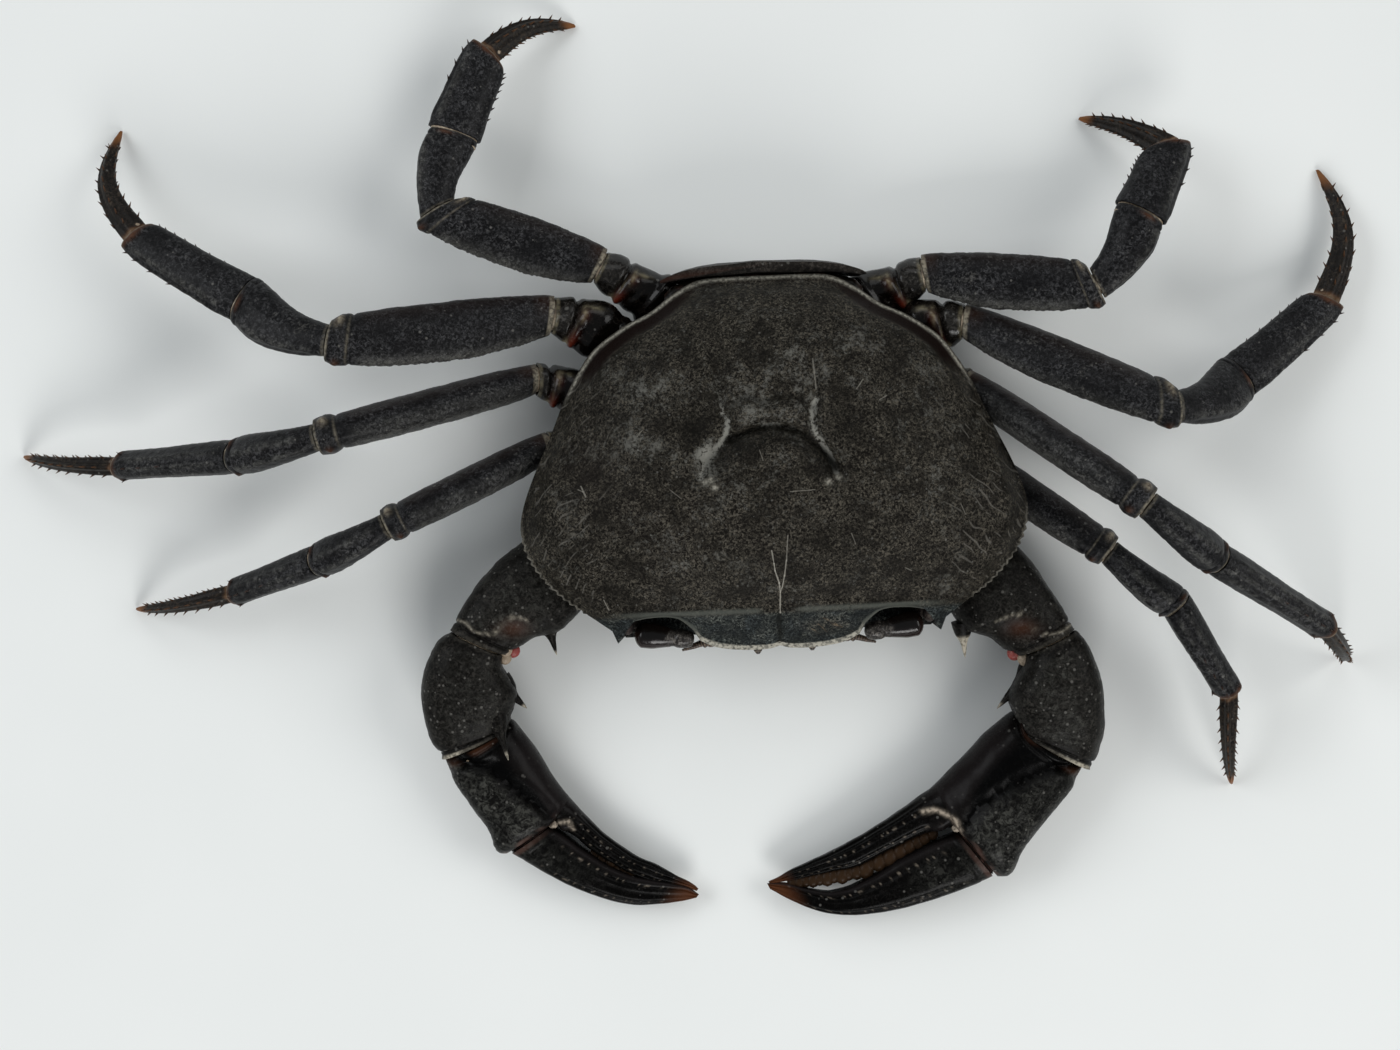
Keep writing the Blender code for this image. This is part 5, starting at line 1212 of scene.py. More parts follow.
def make_arm(side, mirror, joints, skins, before, frame, looks):
    """Merus and carpus of a claw; returns the frame of the last."""
    label = "claw_%s_" % side
    ways = [unit(end - start) for start, end in zip(joints, joints[1:])]
    for k, name in enumerate(("merus", "carpus")):
        direction = ways[k]
        away = side_of(direction, mirror)
        length = np.linalg.norm(joints[k + 1] - joints[k])
        table = CLAW_SIZE[side][name][1]
        distance = length * np.concatenate([np.linspace(0, 0.9, 84), np.linspace(0.9, 1, 26)[1:]])
        rings, outward, axis = claw_rings(table, distance, joints[k], direction, away, ARM_SIDES, False)
        relief, masks = arm_skin(distance[:, None] / length, rings, outward, name, side)
        planes = (bend_plane(joints[k], before, direction),
                  bend_plane(joints[k + 1], direction, ways[k + 1]))
        rings = fitted(rings + outward * relief[..., None], axis, distance, length, direction, *planes)
        bm = lipped_shell(rings, masks, depth=0.9)
        for root, tip, radius, pale_from in CLAW_SPINES[(side, name)]:
            thorn(bm, root, tip, radius, pale_from)
        piece(bm, label + name + "_shell", [label + name], looks["claw_arm"])
        frames = (frame, (away, UP))
        claw_sleeve(skins, joints[k], before, direction, frames, table[0], 0.93, 0.93, 2.2)
        frame = frames[1]
        before = direction
    return frame


def palm_skin(u, rings, outward, hand, end):
    """Relief and tones of a palm: rough outer lobe, smooth hollow beside it painted dark as shade, hinge
    boss and finger, with a painted sheen on the inner side and the boss.
    """
    side = hand.side
    step = hand.step
    stops = u[:, 0]
    across = (rings - hand.wrist) @ hand.away
    beside = eased(HAND_LOBE[side], stops) - across
    upper = ramp(outward[..., 2], 0.05, 0.5)
    reach = eased(HAND_HOLLOW[side], stops) * 0.5
    body = 1 - ramp(u, HAND_HINGE[side][0] - 1.5, HAND_HINGE[side][0])
    # The hollow beside the lobe is painted near black as shade and a dark reflection.
    valley = ramp(beside, -0.35, 0.9) * (1 - ramp(beside, reach * 1.5, reach * 2.3)) * upper * body
    trench = hump(beside, 0.9, 0.9) * upper * body
    lobe = ramp(-beside, -0.5, 0.6) * body
    finger = ramp(u, step + 1, step + 5)
    facing = partial(near_angle, PALM_SIDES)
    groove = facing(60, 8) + facing(105, 7) + facing(145, 9)
    boss = spot(u, across, *HAND_BOSS[side]) * upper
    lines = sum(stroke(u, across, line, width) for line, width in HAND_LINES[side]) * upper
    relief = 0.75 * boss + 0.18 * lines - 0.4 * facing(180, 30) * (1 - ramp(u, 0.1, 1.2))
    relief += 0.10 * swirl(rings, 2.2, 33) + 0.08 * lobe * swirl(rings, 0.6, 34) - 0.20 * finger * groove
    relief += 0.30 * lobe * upper * ramp(u, 0.8, 2.0) - 0.30 * hump(u, 1.1, 0.4) * upper
    relief -= 0.80 * trench + 0.15 * valley
    brown = np.maximum(ramp(u, end - 4, end - 0.5), 0.45 * (1 - ramp(u, 0.6, 1.4)) * facing(60, 50))
    joint = ramp(u, step - 0.7, step - 0.35) * (1 - ramp(u, step + 0.1, step + 0.4)) * facing(50, 50)
    # A painted sheen lightens the inner side of the palm and the hinge boss.
    painted_sheen = facing(150, 40) * (1 - ramp(u, step - 1, step + 5)) * (1 - valley) * ramp(u, 1.0, 6.0)
    return relief, {"wear_and_highlight": lobe * upper, "brown": brown, "flesh": 0.35 * joint, "hollow_shade": valley,
                    "pale": finger * (facing(60, 4) + facing(105, 4)) * (1 - ramp(u, end - 5, end - 2)),
                    "painted_sheen": 0.9 * painted_sheen + 0.6 * boss}, lines


def pitted(u, rings, seed):
    """Pale pits in a row, as the share of each point that they cover."""
    return 0.40 * ramp(np.sin(4.6 * u + 4 * swirl(rings, 1.4, seed)), 0.70, 0.97)


def make_palm(hand, table, skins, before, frames, looks):
    """Palm with its fixed finger."""
    side = hand.side
    label = "claw_%s_palm" % side
    end = table[-1][0]
    step = hand.step
    first = CLAW_SIZE[side]["finger"][0]
    stops = np.concatenate([np.linspace(0, 1.2, 12), np.linspace(1.2, step, 62)[1:],
                            np.linspace(step, step + 0.3, 7)[1:], np.linspace(step + 0.3, end, 124)[1:]])
    rings, outward, axis = claw_rings(table, stops, hand.wrist, hand.along, hand.away, PALM_SIDES, True)
    u = np.repeat(stops[:, None], PALM_SIDES, axis=1)
    relief, masks, lines = palm_skin(u, rings, outward, hand, end)
    rings = fitted(rings + outward * relief[..., None], axis, stops, first[0], hand.along,
                   bend_plane(hand.wrist, before, hand.along), None)
    rings = slanted(rings, hand)
    corner = HAND_CORNER[side] * near_angle(PALM_SIDES, 175, 48) * (1 - ramp(u, 0, 8))
    rings -= corner[..., None] * hand.along
    masks["pale"] = np.maximum(masks["pale"] * pitted(u, rings, 37), 0.85 * lines)
    masks["flesh"] = masks["flesh"] * ramp(swirl(rings, 1.2, 43), -0.2, 0.4)
    bm = lipped_shell(rings, masks, depth=0.9, ends=(True, False))
    blunt_teeth(bm, CLAW_TEETH[side][0], FIXED_EDGE[side], table, hand, 1)
    hinge = hand.wrist + hand.along * HAND_HINGE[side][0] + hand.away * HAND_HINGE[side][1]
    hinge[2] = first[3] + first[4] * 0.80
    bead(bm, hinge, 1.0, "pale", 0.8, stretch=(0.65, 0.55, 0.5), detail=3)
    piece(bm, label + "_shell", [label], looks["claw_hand"], angle=50)
    claw_sleeve(skins, hand.wrist, before, hand.along, frames, table[0], 0.84, 0.86, 1.0)


def make_finger(hand, skins, frames, looks):
    """Movable finger, with the dark skin of its joint."""
    side = hand.side
    label = "claw_%s_finger" % side
    table = edged(CLAW_SIZE[side]["finger"], FREE_EDGE[side], 1)
    first = table[0][0]
    end = table[-1][0]
    stops = np.concatenate([np.linspace(first, first + 3, 20), np.linspace(first + 3, end, 118)[1:]])
    rings, outward, _ = claw_rings(table, stops, hand.wrist, hand.along, hand.away, FINGER_SIDES, True)
    u = np.repeat(stops[:, None], FINGER_SIDES, axis=1)
    facing = partial(near_angle, FINGER_SIDES)
    groove = (facing(45, 8) + facing(85, 7) + facing(118, 7)) * ramp(u, first + 2, first + 6)
    ridge = facing(142, 13) * ramp(u, first, first + 1.5)
    relief = 0.05 * swirl(rings, 1.6, 35) + 0.16 * ridge - 0.20 * groove
    relief -= 0.16 * hump(u, first + 1.3, 0.25) * facing(90, 70)
    rows = facing(45, 4) + facing(118, 4)
    rows = rows * ramp(u, first + 2, first + 5) * (1 - ramp(u, end - 5, end - 2))
    # A painted highlight runs along the ridge of the finger.
    masks = {"flesh": 0.25 * (1 - ramp(u, first + 0.35, first + 0.8)) * facing(60, 60),
             "brown": ramp(u, end - 4.5, end - 0.5), "painted_sheen": 0.9 * ridge,
             "pale": rows * pitted(u, rings, 38),
             "wear_and_highlight": 0.6 * facing(70, 50) * (1 - ramp(u, first + 4, first + 12))}
    rings = slanted(rings + outward * relief[..., None], hand)
    rings[..., 2] = np.maximum(rings[..., 2], 0)
    bm = lipped_shell(rings, masks, depth=0.7, ends=(True, False))
    blunt_teeth(bm, CLAW_TEETH[side][1], FREE_EDGE[side], table, hand, -1)
    piece(bm, label + "_shell", [label], looks["claw_hand"], angle=50)
    old = len(skins.verts)
    deep = tone_layer(skins, "deep")
    place = hand.wrist + hand.along * (first - 0.2)
    place[2] = table[0][3]
    claw_sleeve(skins, place, hand.along, hand.along, (frames[1], frames[1]), table[0], 0.96, 0.97, 1.2)
    skins.verts.ensure_lookup_table()
    loose = skins.verts[old:]
    for vertex, moved in zip(loose, slanted(np.array([vertex.co for vertex in loose]), hand)):
        vertex.co = moved
        vertex[deep] = 1.0


def make_claw(side, mirror, looks):
    """Claw limb: base, merus, carpus, palm with its fixed finger, and the movable finger."""
    size = CLAW_SIZE[side]
    start = np.array(size["start"])
    elbow = np.array(size["merus"][0])
    wrist = np.array(size["carpus"][0])
    end = np.array([*size["palm"][0], wrist[2]])
    label = "claw_%s_" % side
    first_way, across, up = make_base(label + "base", "claw", start, unit(elbow - start), *CLAW_ROOT_SIZE,
                                      0, mirror, looks["base"])
    skins = bmesh.new()
    frame = make_arm(side, mirror, (start, elbow, wrist, end), skins, first_way, (across, up), looks)
    along = unit(end - wrist)
    table = size["palm"][1]
    body = [row for row in table if row[0] < size["finger"][0][0] - 0.4]
    table = body + edged(table[len(body):], FIXED_EDGE[side], 2)
    step = next(row[0] for row, after in zip(table, table[1:]) if after[0] - row[0] < 0.5)
    hand = Hand(side, wrist, along, side_of(along, mirror), step)
    frames = (frame, (hand.away, UP))
    make_palm(hand, table, skins, unit(wrist - elbow), frames, looks)
    make_finger(hand, skins, frames, looks)
    for place, radius, redness in ELBOW_SPOTS[side]:
        bead(skins, place, radius, "red", redness, stretch=(1.0, 1.0, 0.75), detail=3)
    piece(skins, label + "joint_skin", [], looks["skin"])


# Finishes

def new_group(name, inputs, outputs):
    """Node group with named sockets; returns it with its input and output nodes."""
    group = bpy.data.node_groups.new(name, "ShaderNodeTree")
    for label in inputs:
        kind = "Vector" if label in ("From", "To") else "Float"
        group.interface.new_socket(label, in_out="INPUT", socket_type="NodeSocket" + kind)
    for label in outputs:
        group.interface.new_socket(label, in_out="OUTPUT", socket_type="NodeSocketFloat")
    return group, group.nodes.new("NodeGroupInput"), group.nodes.new("NodeGroupOutput")


def put(tree, target, value):
    """Set a socket to a value, or link another socket to it."""
    if isinstance(value, bpy.types.NodeSocket):
        tree.links.new(value, target)
    else:
        target.default_value = value


def maths(tree, kind, a, b=0.0, clamp=False):
    """Result of one sum on sockets or values."""
    node = tree.nodes.new("ShaderNodeMath")
    node.operation = kind
    node.use_clamp = clamp
    put(tree, node.inputs[0], a)
    put(tree, node.inputs[1], b)
    return node.outputs[0]


def times(tree, a, b, clamp=False):
    """Product of two sockets or values."""
    return maths(tree, "MULTIPLY", a, b, clamp=clamp)


def plus(tree, a, b):
    """Sum of two sockets or values."""
    return maths(tree, "ADD", a, b)


def place_of(tree):
    """Place of a point on its own piece."""
    return tree.nodes.new("ShaderNodeTexCoord").outputs["Object"]


def blended(tree, share, a, b):
    """Colour between two others, each one a socket or red, green and blue."""
    node = tree.nodes.new("ShaderNodeMix")
    node.data_type = "RGBA"
    put(tree, node.inputs["Factor"], share)
    for name, colour in (("A", a), ("B", b)):
        put(tree, node.inputs[name], (*colour, 1.0) if isinstance(colour, tuple) else colour)
    return node.outputs["Result"]


def stretched(tree, value, low, high, to_low=0.0, to_high=1.0):
    """Smooth remapping of a value, held between two limits."""
    node = tree.nodes.new("ShaderNodeMapRange")
    node.interpolation_type = "SMOOTHSTEP"
    put(tree, node.inputs["Value"], value)
    for name, limit in (("From Min", low), ("From Max", high), ("To Min", to_low), ("To Max", to_high)):
        put(tree, node.inputs[name], limit)
    return node.outputs["Result"]


def mottle(tree, vector, scale, detail=3.0, rough=0.55, warp=0.0):
    """Soft cloudy values from 0 to 1."""
    node = tree.nodes.new("ShaderNodeTexNoise")
    put(tree, node.inputs["Vector"], vector)
    put(tree, node.inputs["Scale"], scale)
    node.inputs["Detail"].default_value = detail
    node.inputs["Roughness"].default_value = rough
    node.inputs["Distortion"].default_value = warp
    return node.outputs["Fac"]


def cells(tree, vector, scale):
    """Cells round scattered points; gives the texture's outputs."""
    node = tree.nodes.new("ShaderNodeTexVoronoi")
    put(tree, node.inputs["Vector"], vector)
    put(tree, node.inputs["Scale"], scale)
    return node.outputs


def grain_group():
    """Fine wormy flecks of two sizes, patchy over the surface."""
    group, source, out = new_group("wormy grain", ("Scale",), ("Fleck", "Height"))
    place = place_of(group)
    fine = mottle(group, place, source.outputs["Scale"], 2.0, 0.6, 0.9)
    patches = mottle(group, place, times(group, source.outputs["Scale"], 0.11), 3.0)
    lines = maths(group, "ABSOLUTE", maths(group, "SUBTRACT", fine, 0.5))
    worms = stretched(group, lines, 0.0, 0.045, 1.0, 0.0)
    blots = stretched(group, fine, 0.54, 0.61)
    both = maths(group, "MAXIMUM", times(group, worms, 0.6), blots)
    put(group, out.inputs["Fleck"], times(group, both, stretched(group, patches, 0.32, 0.62, 0.25, 1.0)))
    put(group, out.inputs["Height"], plus(group, fine, times(group, patches, 0.8)))
    return group


def film_group():
    """Dry film that gathers where its mask is high, broken up by fine mottling."""
    group, source, out = new_group("dusty film", ("Mask", "Scale", "Everywhere"), ("Film",))
    place = place_of(group)
    fine = mottle(group, place, source.outputs["Scale"], 3.0, 0.75, 0.5)
    middle = mottle(group, place, times(group, source.outputs["Scale"], 0.30), 2.0, 0.6, 0.5)
    wide = mottle(group, place, times(group, source.outputs["Scale"], 0.07), 3.0, 0.6, 0.6)
    spread = plus(group, times(group, fine, 0.75), times(group, middle, 0.45))
    spread = plus(group, spread, times(group, wide, 0.55))
    lifted = plus(group, source.outputs["Mask"], source.outputs["Everywhere"])
    spread = plus(group, spread, times(group, lifted, 0.26))
    share = times(group, stretched(group, spread, 0.97, 1.20), plus(group, lifted, 0.45))
    put(group, out.inputs["Film"], maths(group, "MINIMUM", share, 1.0))
    return group


def speck_group():
    """Scattered round pale specks."""
    group, source, out = new_group("pale specks", ("Scale", "Size", "Share"), ("Speck",))
    found = cells(group, place_of(group), source.outputs["Scale"])
    parts = group.nodes.new("ShaderNodeSeparateColor")
    put(group, parts.inputs[0], found["Color"])
    size = times(group, source.outputs["Size"], plus(group, parts.outputs[1], 0.35))
    dot = stretched(group, maths(group, "DIVIDE", found["Distance"], size), 0.45, 1.0, 1.0, 0.0)
    chosen = maths(group, "LESS_THAN", parts.outputs[0], source.outputs["Share"])
    put(group, out.inputs["Speck"], times(group, dot, chosen))
    return group


def granule_group():
    """Close round granules of one size."""
    group, source, out = new_group("round granules", ("Scale",), ("Granule",))
    gap = cells(group, place_of(group), source.outputs["Scale"])["Distance"]
    put(group, out.inputs["Granule"], stretched(group, gap, 0.05, 0.55, 1.0, 0.0))
    return group


def scratch_group():
    """Fine pale line between two points of the plan view."""
    group, source, out = new_group("line mark", ("From", "To", "Width"), ("Mark",))

    def vectors(kind, a, b, output=0):
        node = group.nodes.new("ShaderNodeVectorMath")
        node.operation = kind
        put(group, node.inputs[0], a)
        if b is not None:
            put(group, node.inputs[3 if kind == "SCALE" else 1], b)
        return node.outputs[output]

    place = place_of(group)
    plan = vectors("MULTIPLY", place, (1, 1, 0))
    run = vectors("SUBTRACT", source.outputs["To"], source.outputs["From"])
    away = vectors("SUBTRACT", plan, source.outputs["From"])
    reach = vectors("DOT_PRODUCT", away, run, 1)
    share = maths(group, "DIVIDE", reach, vectors("DOT_PRODUCT", run, run, 1), clamp=True)
    gap = vectors("LENGTH", vectors("SUBTRACT", away, vectors("SCALE", run, share)), None, 1)
    wobble = times(group, source.outputs["Width"], mottle(group, place, 2600.0, 2.0))
    near = maths(group, "DIVIDE", gap, times(group, wobble, 2.2))
    put(group, out.inputs["Mark"], stretched(group, near, 0.4, 1.0, 1.0, 0.0))
    return group


def stripe_group():
    """Fine oblique growth lines, mirrored to the two sides of the body."""
    group, source, out = new_group("growth lines", ("Scale",), ("Line",))
    place = place_of(group)
    parts = group.nodes.new("ShaderNodeSeparateXYZ")
    put(group, parts.inputs[0], place)
    side = maths(group, "ABSOLUTE", parts.outputs["X"])
    slant = plus(group, times(group, side, 0.78), times(group, parts.outputs["Y"], 0.92))
    bent = plus(group, slant, times(group, mottle(group, place, 130.0, 2.0), 0.006))
    waves = maths(group, "SINE", times(group, bent, source.outputs["Scale"]))
    broken = stretched(group, mottle(group, place, 420.0, 2.0), 0.48, 0.62)
    put(group, out.inputs["Line"], times(group, stretched(group, waves, 0.78, 0.97), broken))
    return group


GROUPS = {"grain": grain_group(), "film": film_group(), "granule": granule_group(),
          "scratch": scratch_group(), "stripe": stripe_group(), "speck": speck_group()}


def use(tree, name, **values):
    """Put one of the shared groups in a material."""
    node = tree.nodes.new("ShaderNodeGroup")
    node.node_tree = GROUPS[name]
    for label, value in values.items():
        put(tree, node.inputs[label], value)
    return node.outputs


def tone(tree, name):
    """Read a tone painted on the vertices of a piece."""
    node = tree.nodes.new("ShaderNodeAttribute")
    node.attribute_name = name
    return node.outputs["Fac"]


def new_material(name):
    """Material with nodes; returns it with its tree and its shader."""
    material = bpy.data.materials.new(name)
    material.use_nodes = True
    tree = material.node_tree
    return material, tree, tree.nodes["Principled BSDF"]


def raised(tree, shader, height, strength, distance=0.00012):
    """Feed a height to the normal of a shader."""
    bump = tree.nodes.new("ShaderNodeBump")
    bump.inputs["Strength"].default_value = strength
    bump.inputs["Distance"].default_value = distance
    put(tree, bump.inputs["Height"], height)
    put(tree, shader.inputs["Normal"], bump.outputs["Normal"])


def shell_finish(name, base, fleck, pale, brown, wear_and_highlight, dust=(0.13, 0.125, 0.112), scale=2600.0, film=0.0,
                 rough=(0.5, 0.75), flecks=1.0, specks=0.3, bump=0.35, level=0.30, extra=None, special=()):
    """Shell of a crab: dark base with flecks, worn ridges and painted highlights, brown corners, pale edges
    and a dry film.
    """
    material, tree, shader = new_material(name)
    grain = use(tree, "grain", Scale=scale)
    colour = blended(tree, times(tree, grain["Fleck"], flecks), base, fleck)
    wear_and_highlight_share = times(tree, tone(tree, "wear_and_highlight"), plus(tree, grain["Fleck"], 0.25), clamp=True)
    colour = blended(tree, wear_and_highlight_share, colour, wear_and_highlight)
    dusty = use(tree, "film", Mask=tone(tree, "dust"), Scale=FILM_SCALE, Everywhere=film)["Film"]
    thick = maths(tree, "POWER", tone(tree, "dust"), 3.0, clamp=True)
    film_colour = blended(tree, thick, dust, tuple(2.1 * v for v in dust))
    colour = blended(tree, dusty, colour, film_colour)
    speck = use(tree, "speck", Scale=scale * 0.55, Size=0.26, Share=specks)["Speck"]
    colour = blended(tree, times(tree, speck, 0.38), colour, tuple(1.3 * v + 0.03 for v in dust))
    height = plus(tree, grain["Height"], times(tree, speck, 0.5))
    if extra:
        colour, height = extra(tree, colour, height, grain)
    colour = blended(tree, times(tree, tone(tree, "brown"), 0.9, clamp=True), colour, brown)
    for layer, tint in special:
        colour = blended(tree, tone(tree, layer), colour, tint)
    chipped = stretched(tree, mottle(tree, place_of(tree), scale * 0.8), 0.34, 0.62, 0.25, 1.0)
    colour = blended(tree, times(tree, tone(tree, "pale"), chipped, clamp=True), colour, pale)
    put(tree, shader.inputs["Base Color"], colour)
    matt = stretched(tree, plus(tree, grain["Fleck"], dusty), 0.0, 1.2, *rough)
    put(tree, shader.inputs["Roughness"], matt)
    shader.inputs["Specular IOR Level"].default_value = level
    raised(tree, shader, height, bump)
    return material


def back_details(tree, colour, height, grain):
    """Front of granules, growth lines, scratches and painted shade in the grooves of the back."""
    fleck = grain["Fleck"]
    granule = use(tree, "granule", Scale=1650.0)["Granule"]
    front = tone(tree, "front")
    patch = stretched(tree, mottle(tree, place_of(tree), 420.0, 3.0, 0.6, 0.5), 0.40, 0.60)
    light = blended(tree, patch, (0.085, 0.104, 0.108), (0.165, 0.180, 0.160))
    rough = times(tree, plus(tree, times(tree, granule, 0.45), 0.55), fleck)
    grey = blended(tree, times(tree, rough, 1.1, clamp=True), (0.0065, 0.0085, 0.0090), light)
    colour = blended(tree, times(tree, front, 0.85, clamp=True), colour, grey)
    line = use(tree, "stripe", Scale=4200.0)["Line"]
    striped = times(tree, times(tree, line, tone(tree, "stripes")), 0.4)
    colour = blended(tree, striped, colour, (0.17, 0.16, 0.14))
    colour = blended(tree, tone(tree, "grey"), colour, (0.082, 0.088, 0.076))
    # Painted shade darkens the grooves, the median notch and the deep hollows.
    colour = blended(tree, tone(tree, "groove_shade"), colour, (0.0025, 0.0025, 0.0016))
    lined = plus(tree, times(tree, line, 0.7), times(tree, fleck, 0.5))
    colour = blended(tree, times(tree, lined, tone(tree, "tan"), clamp=True), colour, (0.15, 0.11, 0.070))
    wall = blended(tree, fleck, (0.020, 0.015, 0.016), (0.085, 0.070, 0.060))
    colour = blended(tree, tone(tree, "wall"), colour, wall)
    for start, end, width, share in SCRATCHES:
        ends = [(x * MM, y * MM, 0) for x, y in (start, end)]
        mark = use(tree, "scratch", From=ends[0], To=ends[1], Width=width * MM)["Mark"]
        colour = blended(tree, times(tree, mark, 0.7 * share), colour, (0.36, 0.34, 0.29))
    return colour, plus(tree, height, times(tree, times(tree, granule, front), 1.6))


def fine_granules(tree, colour, height, grain):
    """Granules in relief and pale wormy marks where a shell is worn and rough."""
    wear_and_highlight = tone(tree, "wear_and_highlight")
    granule = use(tree, "granule", Scale=2100.0)["Granule"]
    worms = use(tree, "grain", Scale=1150.0)["Fleck"]
    marks = times(tree, worms, times(tree, wear_and_highlight, 0.42), clamp=True)
    colour = blended(tree, marks, colour, (0.100, 0.100, 0.088))
    height = plus(tree, height, times(tree, times(tree, granule, wear_and_highlight), 1.3))
    return colour, plus(tree, height, times(tree, marks, 1.5))


def eye_finish():
    """Eye: black glossy cornea with a deep red sheen, on a spotted brown stalk."""
    material, tree, shader = new_material("eye_of_crab")
    grain = use(tree, "grain", Scale=2300.0)
    stalk = blended(tree, grain["Fleck"], (0.008, 0.006, 0.005), (0.11, 0.10, 0.088))
    # The cornea turns deep red toward its edges as seen: a painted sheen.
    facing = tree.nodes.new("ShaderNodeLayerWeight")
    facing.inputs["Blend"].default_value = 0.35
    cornea = blended(tree, facing.outputs["Facing"], (0.0035, 0.0028, 0.0025), (0.026, 0.012, 0.008))
    put(tree, shader.inputs["Base Color"], blended(tree, tone(tree, "cornea"), stalk, cornea))
    put(tree, shader.inputs["Roughness"], stretched(tree, tone(tree, "cornea"), 0.0, 1.0, 0.55, 0.20))
    shader.inputs["Specular IOR Level"].default_value = 0.22
    shader.inputs["Coat Weight"].default_value = 0.18
    shader.inputs["Coat Roughness"].default_value = 0.12
    raised(tree, shader, grain["Height"], 0.30)
    return material


def skin_finish():
    """Soft folded skin of the joints, cream to bright red."""
    material, tree, shader = new_material("joint_skin")
    grain = use(tree, "grain", Scale=1500.0)
    cream = blended(tree, grain["Fleck"], (0.25, 0.19, 0.13), (0.50, 0.42, 0.31))
    deep = blended(tree, grain["Fleck"], (0.006, 0.003, 0.002), (0.11, 0.058, 0.046))
    cream = blended(tree, tone(tree, "deep"), cream, deep)
    red = blended(tree, grain["Fleck"], (0.20, 0.008, 0.008), (0.36, 0.11, 0.085))
    put(tree, shader.inputs["Base Color"], blended(tree, tone(tree, "red"), cream, red))
    shader.inputs["Roughness"].default_value = 0.5
    raised(tree, shader, grain["Height"], 0.4, 0.00015)
    return material


def make_looks():
    """Every finish of the crab."""
    return {
        "back": shell_finish(
            "back_shell", base=(0.0045, 0.0037, 0.0026), fleck=(0.078, 0.070, 0.055),
            pale=(0.40, 0.38, 0.32), brown=(0.0060, 0.0026, 0.0018), wear_and_highlight=(0.10, 0.095, 0.085),
            dust=(0.115, 0.113, 0.100), scale=3000.0, rough=(0.55, 0.85), level=0.07, specks=0.16, bump=0.7,
            extra=back_details),
        "under": shell_finish(
            "under_shell_cream", base=(0.20, 0.155, 0.105), fleck=(0.30, 0.245, 0.18),
            pale=(0.62, 0.55, 0.42), brown=(0.10, 0.045, 0.025), wear_and_highlight=(0.30, 0.25, 0.19), scale=1500.0,
            rough=(0.38, 0.6)),
        "face": shell_finish(
            "face_shell", base=(0.012, 0.010, 0.009), fleck=(0.07, 0.058, 0.045), pale=(0.40, 0.32, 0.23),
            brown=(0.08, 0.035, 0.02), wear_and_highlight=(0.11, 0.09, 0.07), scale=2400.0, rough=(0.35, 0.6)),
        # The tail's lighter second colour paints a highlight on its rear edge and knoll.
        "tail": shell_finish(
            "tail_shell_brown", base=(0.0022, 0.0018, 0.0014), fleck=(0.014, 0.0115, 0.009),
            pale=(0.36, 0.32, 0.25), brown=(0.035, 0.014, 0.009), wear_and_highlight=(0.060, 0.052, 0.045), scale=2200.0,
            rough=(0.30, 0.55), level=0.10, film=-0.4),
        "feeler": shell_finish(
            "feeler_shell", base=(0.012, 0.007, 0.005), fleck=(0.07, 0.042, 0.028),
            pale=(0.35, 0.26, 0.18), brown=(0.05, 0.022, 0.012), wear_and_highlight=(0.12, 0.08, 0.05), scale=3000.0,
            rough=(0.35, 0.55)),
        "base": shell_finish(
            "limb_root_shell", base=(0.0020, 0.0015, 0.0012), fleck=(0.012, 0.009, 0.007),
            pale=(0.38, 0.33, 0.21), brown=(0.13, 0.020, 0.009), wear_and_highlight=(0.038, 0.035, 0.031), scale=1500.0,
            rough=(0.14, 0.38), flecks=0.7, film=-0.6, bump=0.25, level=0.20),
        "leg_shell": shell_finish(
            "leg_shell_dark", base=(0.0050, 0.0050, 0.0054), fleck=(0.044, 0.044, 0.046),
            pale=(0.36, 0.32, 0.24), brown=(0.085, 0.036, 0.018), wear_and_highlight=(0.085, 0.084, 0.078), scale=2300.0,
            rough=(0.36, 0.64), level=0.08, specks=0.12, extra=fine_granules),
        "leg_tip": shell_finish(
            "leg_tip_shell", base=(0.0045, 0.0034, 0.0028), fleck=(0.034, 0.026, 0.019),
            pale=(0.36, 0.28, 0.19), brown=(0.20, 0.080, 0.026), wear_and_highlight=(0.085, 0.070, 0.055), scale=2300.0,
            film=-0.15, rough=(0.36, 0.60), level=0.12),
        "claw_arm": shell_finish(
            "claw_arm_shell", base=(0.0030, 0.0027, 0.0023), fleck=(0.024, 0.022, 0.019),
            pale=(0.44, 0.40, 0.32), brown=(0.095, 0.035, 0.018), wear_and_highlight=(0.028, 0.027, 0.024), scale=2200.0,
            film=-0.10, rough=(0.36, 0.64), specks=0.7, level=0.06, extra=fine_granules),
        "claw_hand": shell_finish(
            "claw_hand_shell", base=(0.0010, 0.0009, 0.0008), fleck=(0.0055, 0.005, 0.0045),
            pale=(0.45, 0.38, 0.30), brown=(0.085, 0.030, 0.012), wear_and_highlight=(0.013, 0.013, 0.012), scale=2200.0,
            film=-0.40, rough=(0.26, 0.50), flecks=0.7, specks=0.35, bump=0.14, level=0.055,
            extra=fine_granules,
            # Painted shade in the palm's hollow, and a painted sheen on its inner side, hinge boss and
            # finger ridge; flesh and teeth are their own colours.
            special=(("hollow_shade", (0.001, 0.001, 0.001)), ("flesh", (0.20, 0.11, 0.085)),
                     ("painted_sheen", (0.012, 0.0100, 0.0100)), ("tooth", (0.030, 0.0165, 0.0085)))),
        "eye": eye_finish(),
        "skin": skin_finish(),
    }


# Floor, light and camera

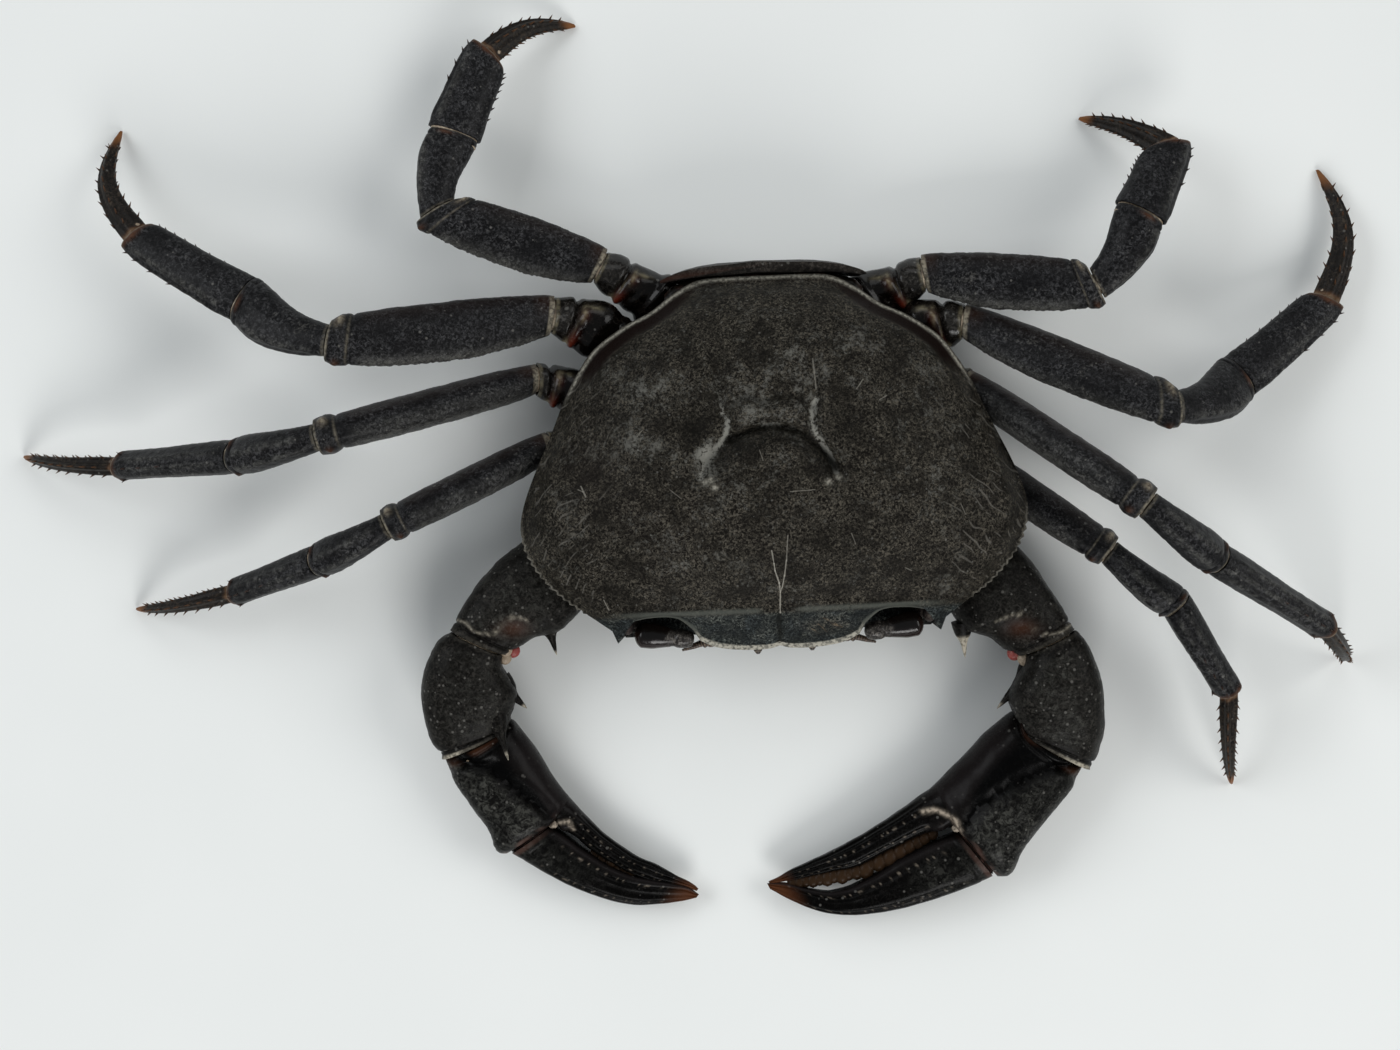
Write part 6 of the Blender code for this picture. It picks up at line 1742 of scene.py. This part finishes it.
def make_floor():
    """White table top, which isn't part of the crab."""
    bm = bmesh.new()
    bmesh.ops.create_grid(bm, x_segments=2, y_segments=2, size=2.5)
    mesh = bpy.data.meshes.new("table_top")
    bm.to_mesh(mesh)
    bm.free()
    floor = bpy.data.objects.new("table_top", mesh)
    bpy.context.scene.collection.objects.link(floor)
    material, tree, shader = new_material("table_paper")
    place = place_of(tree)
    soft = mottle(tree, place, 30.0, 2.0)
    put(tree, shader.inputs["Base Color"], blended(tree, soft, (0.77, 0.79, 0.775), (0.81, 0.825, 0.81)))
    shader.inputs["Roughness"].default_value = 0.9
    shader.inputs["Specular IOR Level"].default_value = 0.15
    mesh.materials.append(material)


def make_light(name, place, size, power, colour):
    """Large soft panel that faces the crab."""
    data = bpy.data.lights.new(name, "AREA")
    data.shape = "RECTANGLE"
    data.size = size[0]
    data.size_y = size[1]
    data.energy = power
    data.color = colour
    light = bpy.data.objects.new(name, data)
    light.location = place
    light.rotation_euler = (-Vector(place)).to_track_quat("-Z", "Y").to_euler()
    light.visible_camera = False
    bpy.context.scene.collection.objects.link(light)


def make_studio():
    """Even pale light from four sides, and the camera straight above."""
    scene = bpy.context.scene
    world = bpy.data.worlds.new("studio")
    world.use_nodes = True
    sky = world.node_tree.nodes["Background"].inputs
    sky["Color"].default_value = (0.90, 0.95, 1.0, 1.0)
    sky["Strength"].default_value = 0.26
    scene.world = world
    for name, panel in WINDOWS.items():
        make_light(name, *panel)
    data = bpy.data.cameras.new("camera")
    data.sensor_width = SENSOR
    data.lens = SENSOR * FOCAL_SHARE
    data.clip_start = 0.01
    camera = bpy.data.objects.new("camera", data)
    camera.location = Vector(CAMERA_PLACE) * MM
    camera.rotation_euler = (0, 0, math.radians(CAMERA_TURN))
    scene.collection.objects.link(camera)
    scene.camera = camera
    scene.view_settings.view_transform = "Standard"


def main():
    """The whole crab, its floor and its studio."""
    looks = make_looks()
    make_carapace(looks["back"])
    make_sternum(looks["under"])
    make_abdomen(looks["tail"])
    make_epistome(looks["face"])
    for side, mirror in (("left", 1), ("right", -1)):
        make_eye(side, mirror, looks["eye"])
        make_antenna(side, mirror, looks["feeler"])
        make_maxilliped(side, mirror, looks["face"])
        make_claw(side, mirror, looks)
        for number in (1, 2, 3, 4):
            make_leg(side, number, mirror, looks)
    make_floor()
    make_studio()


main()
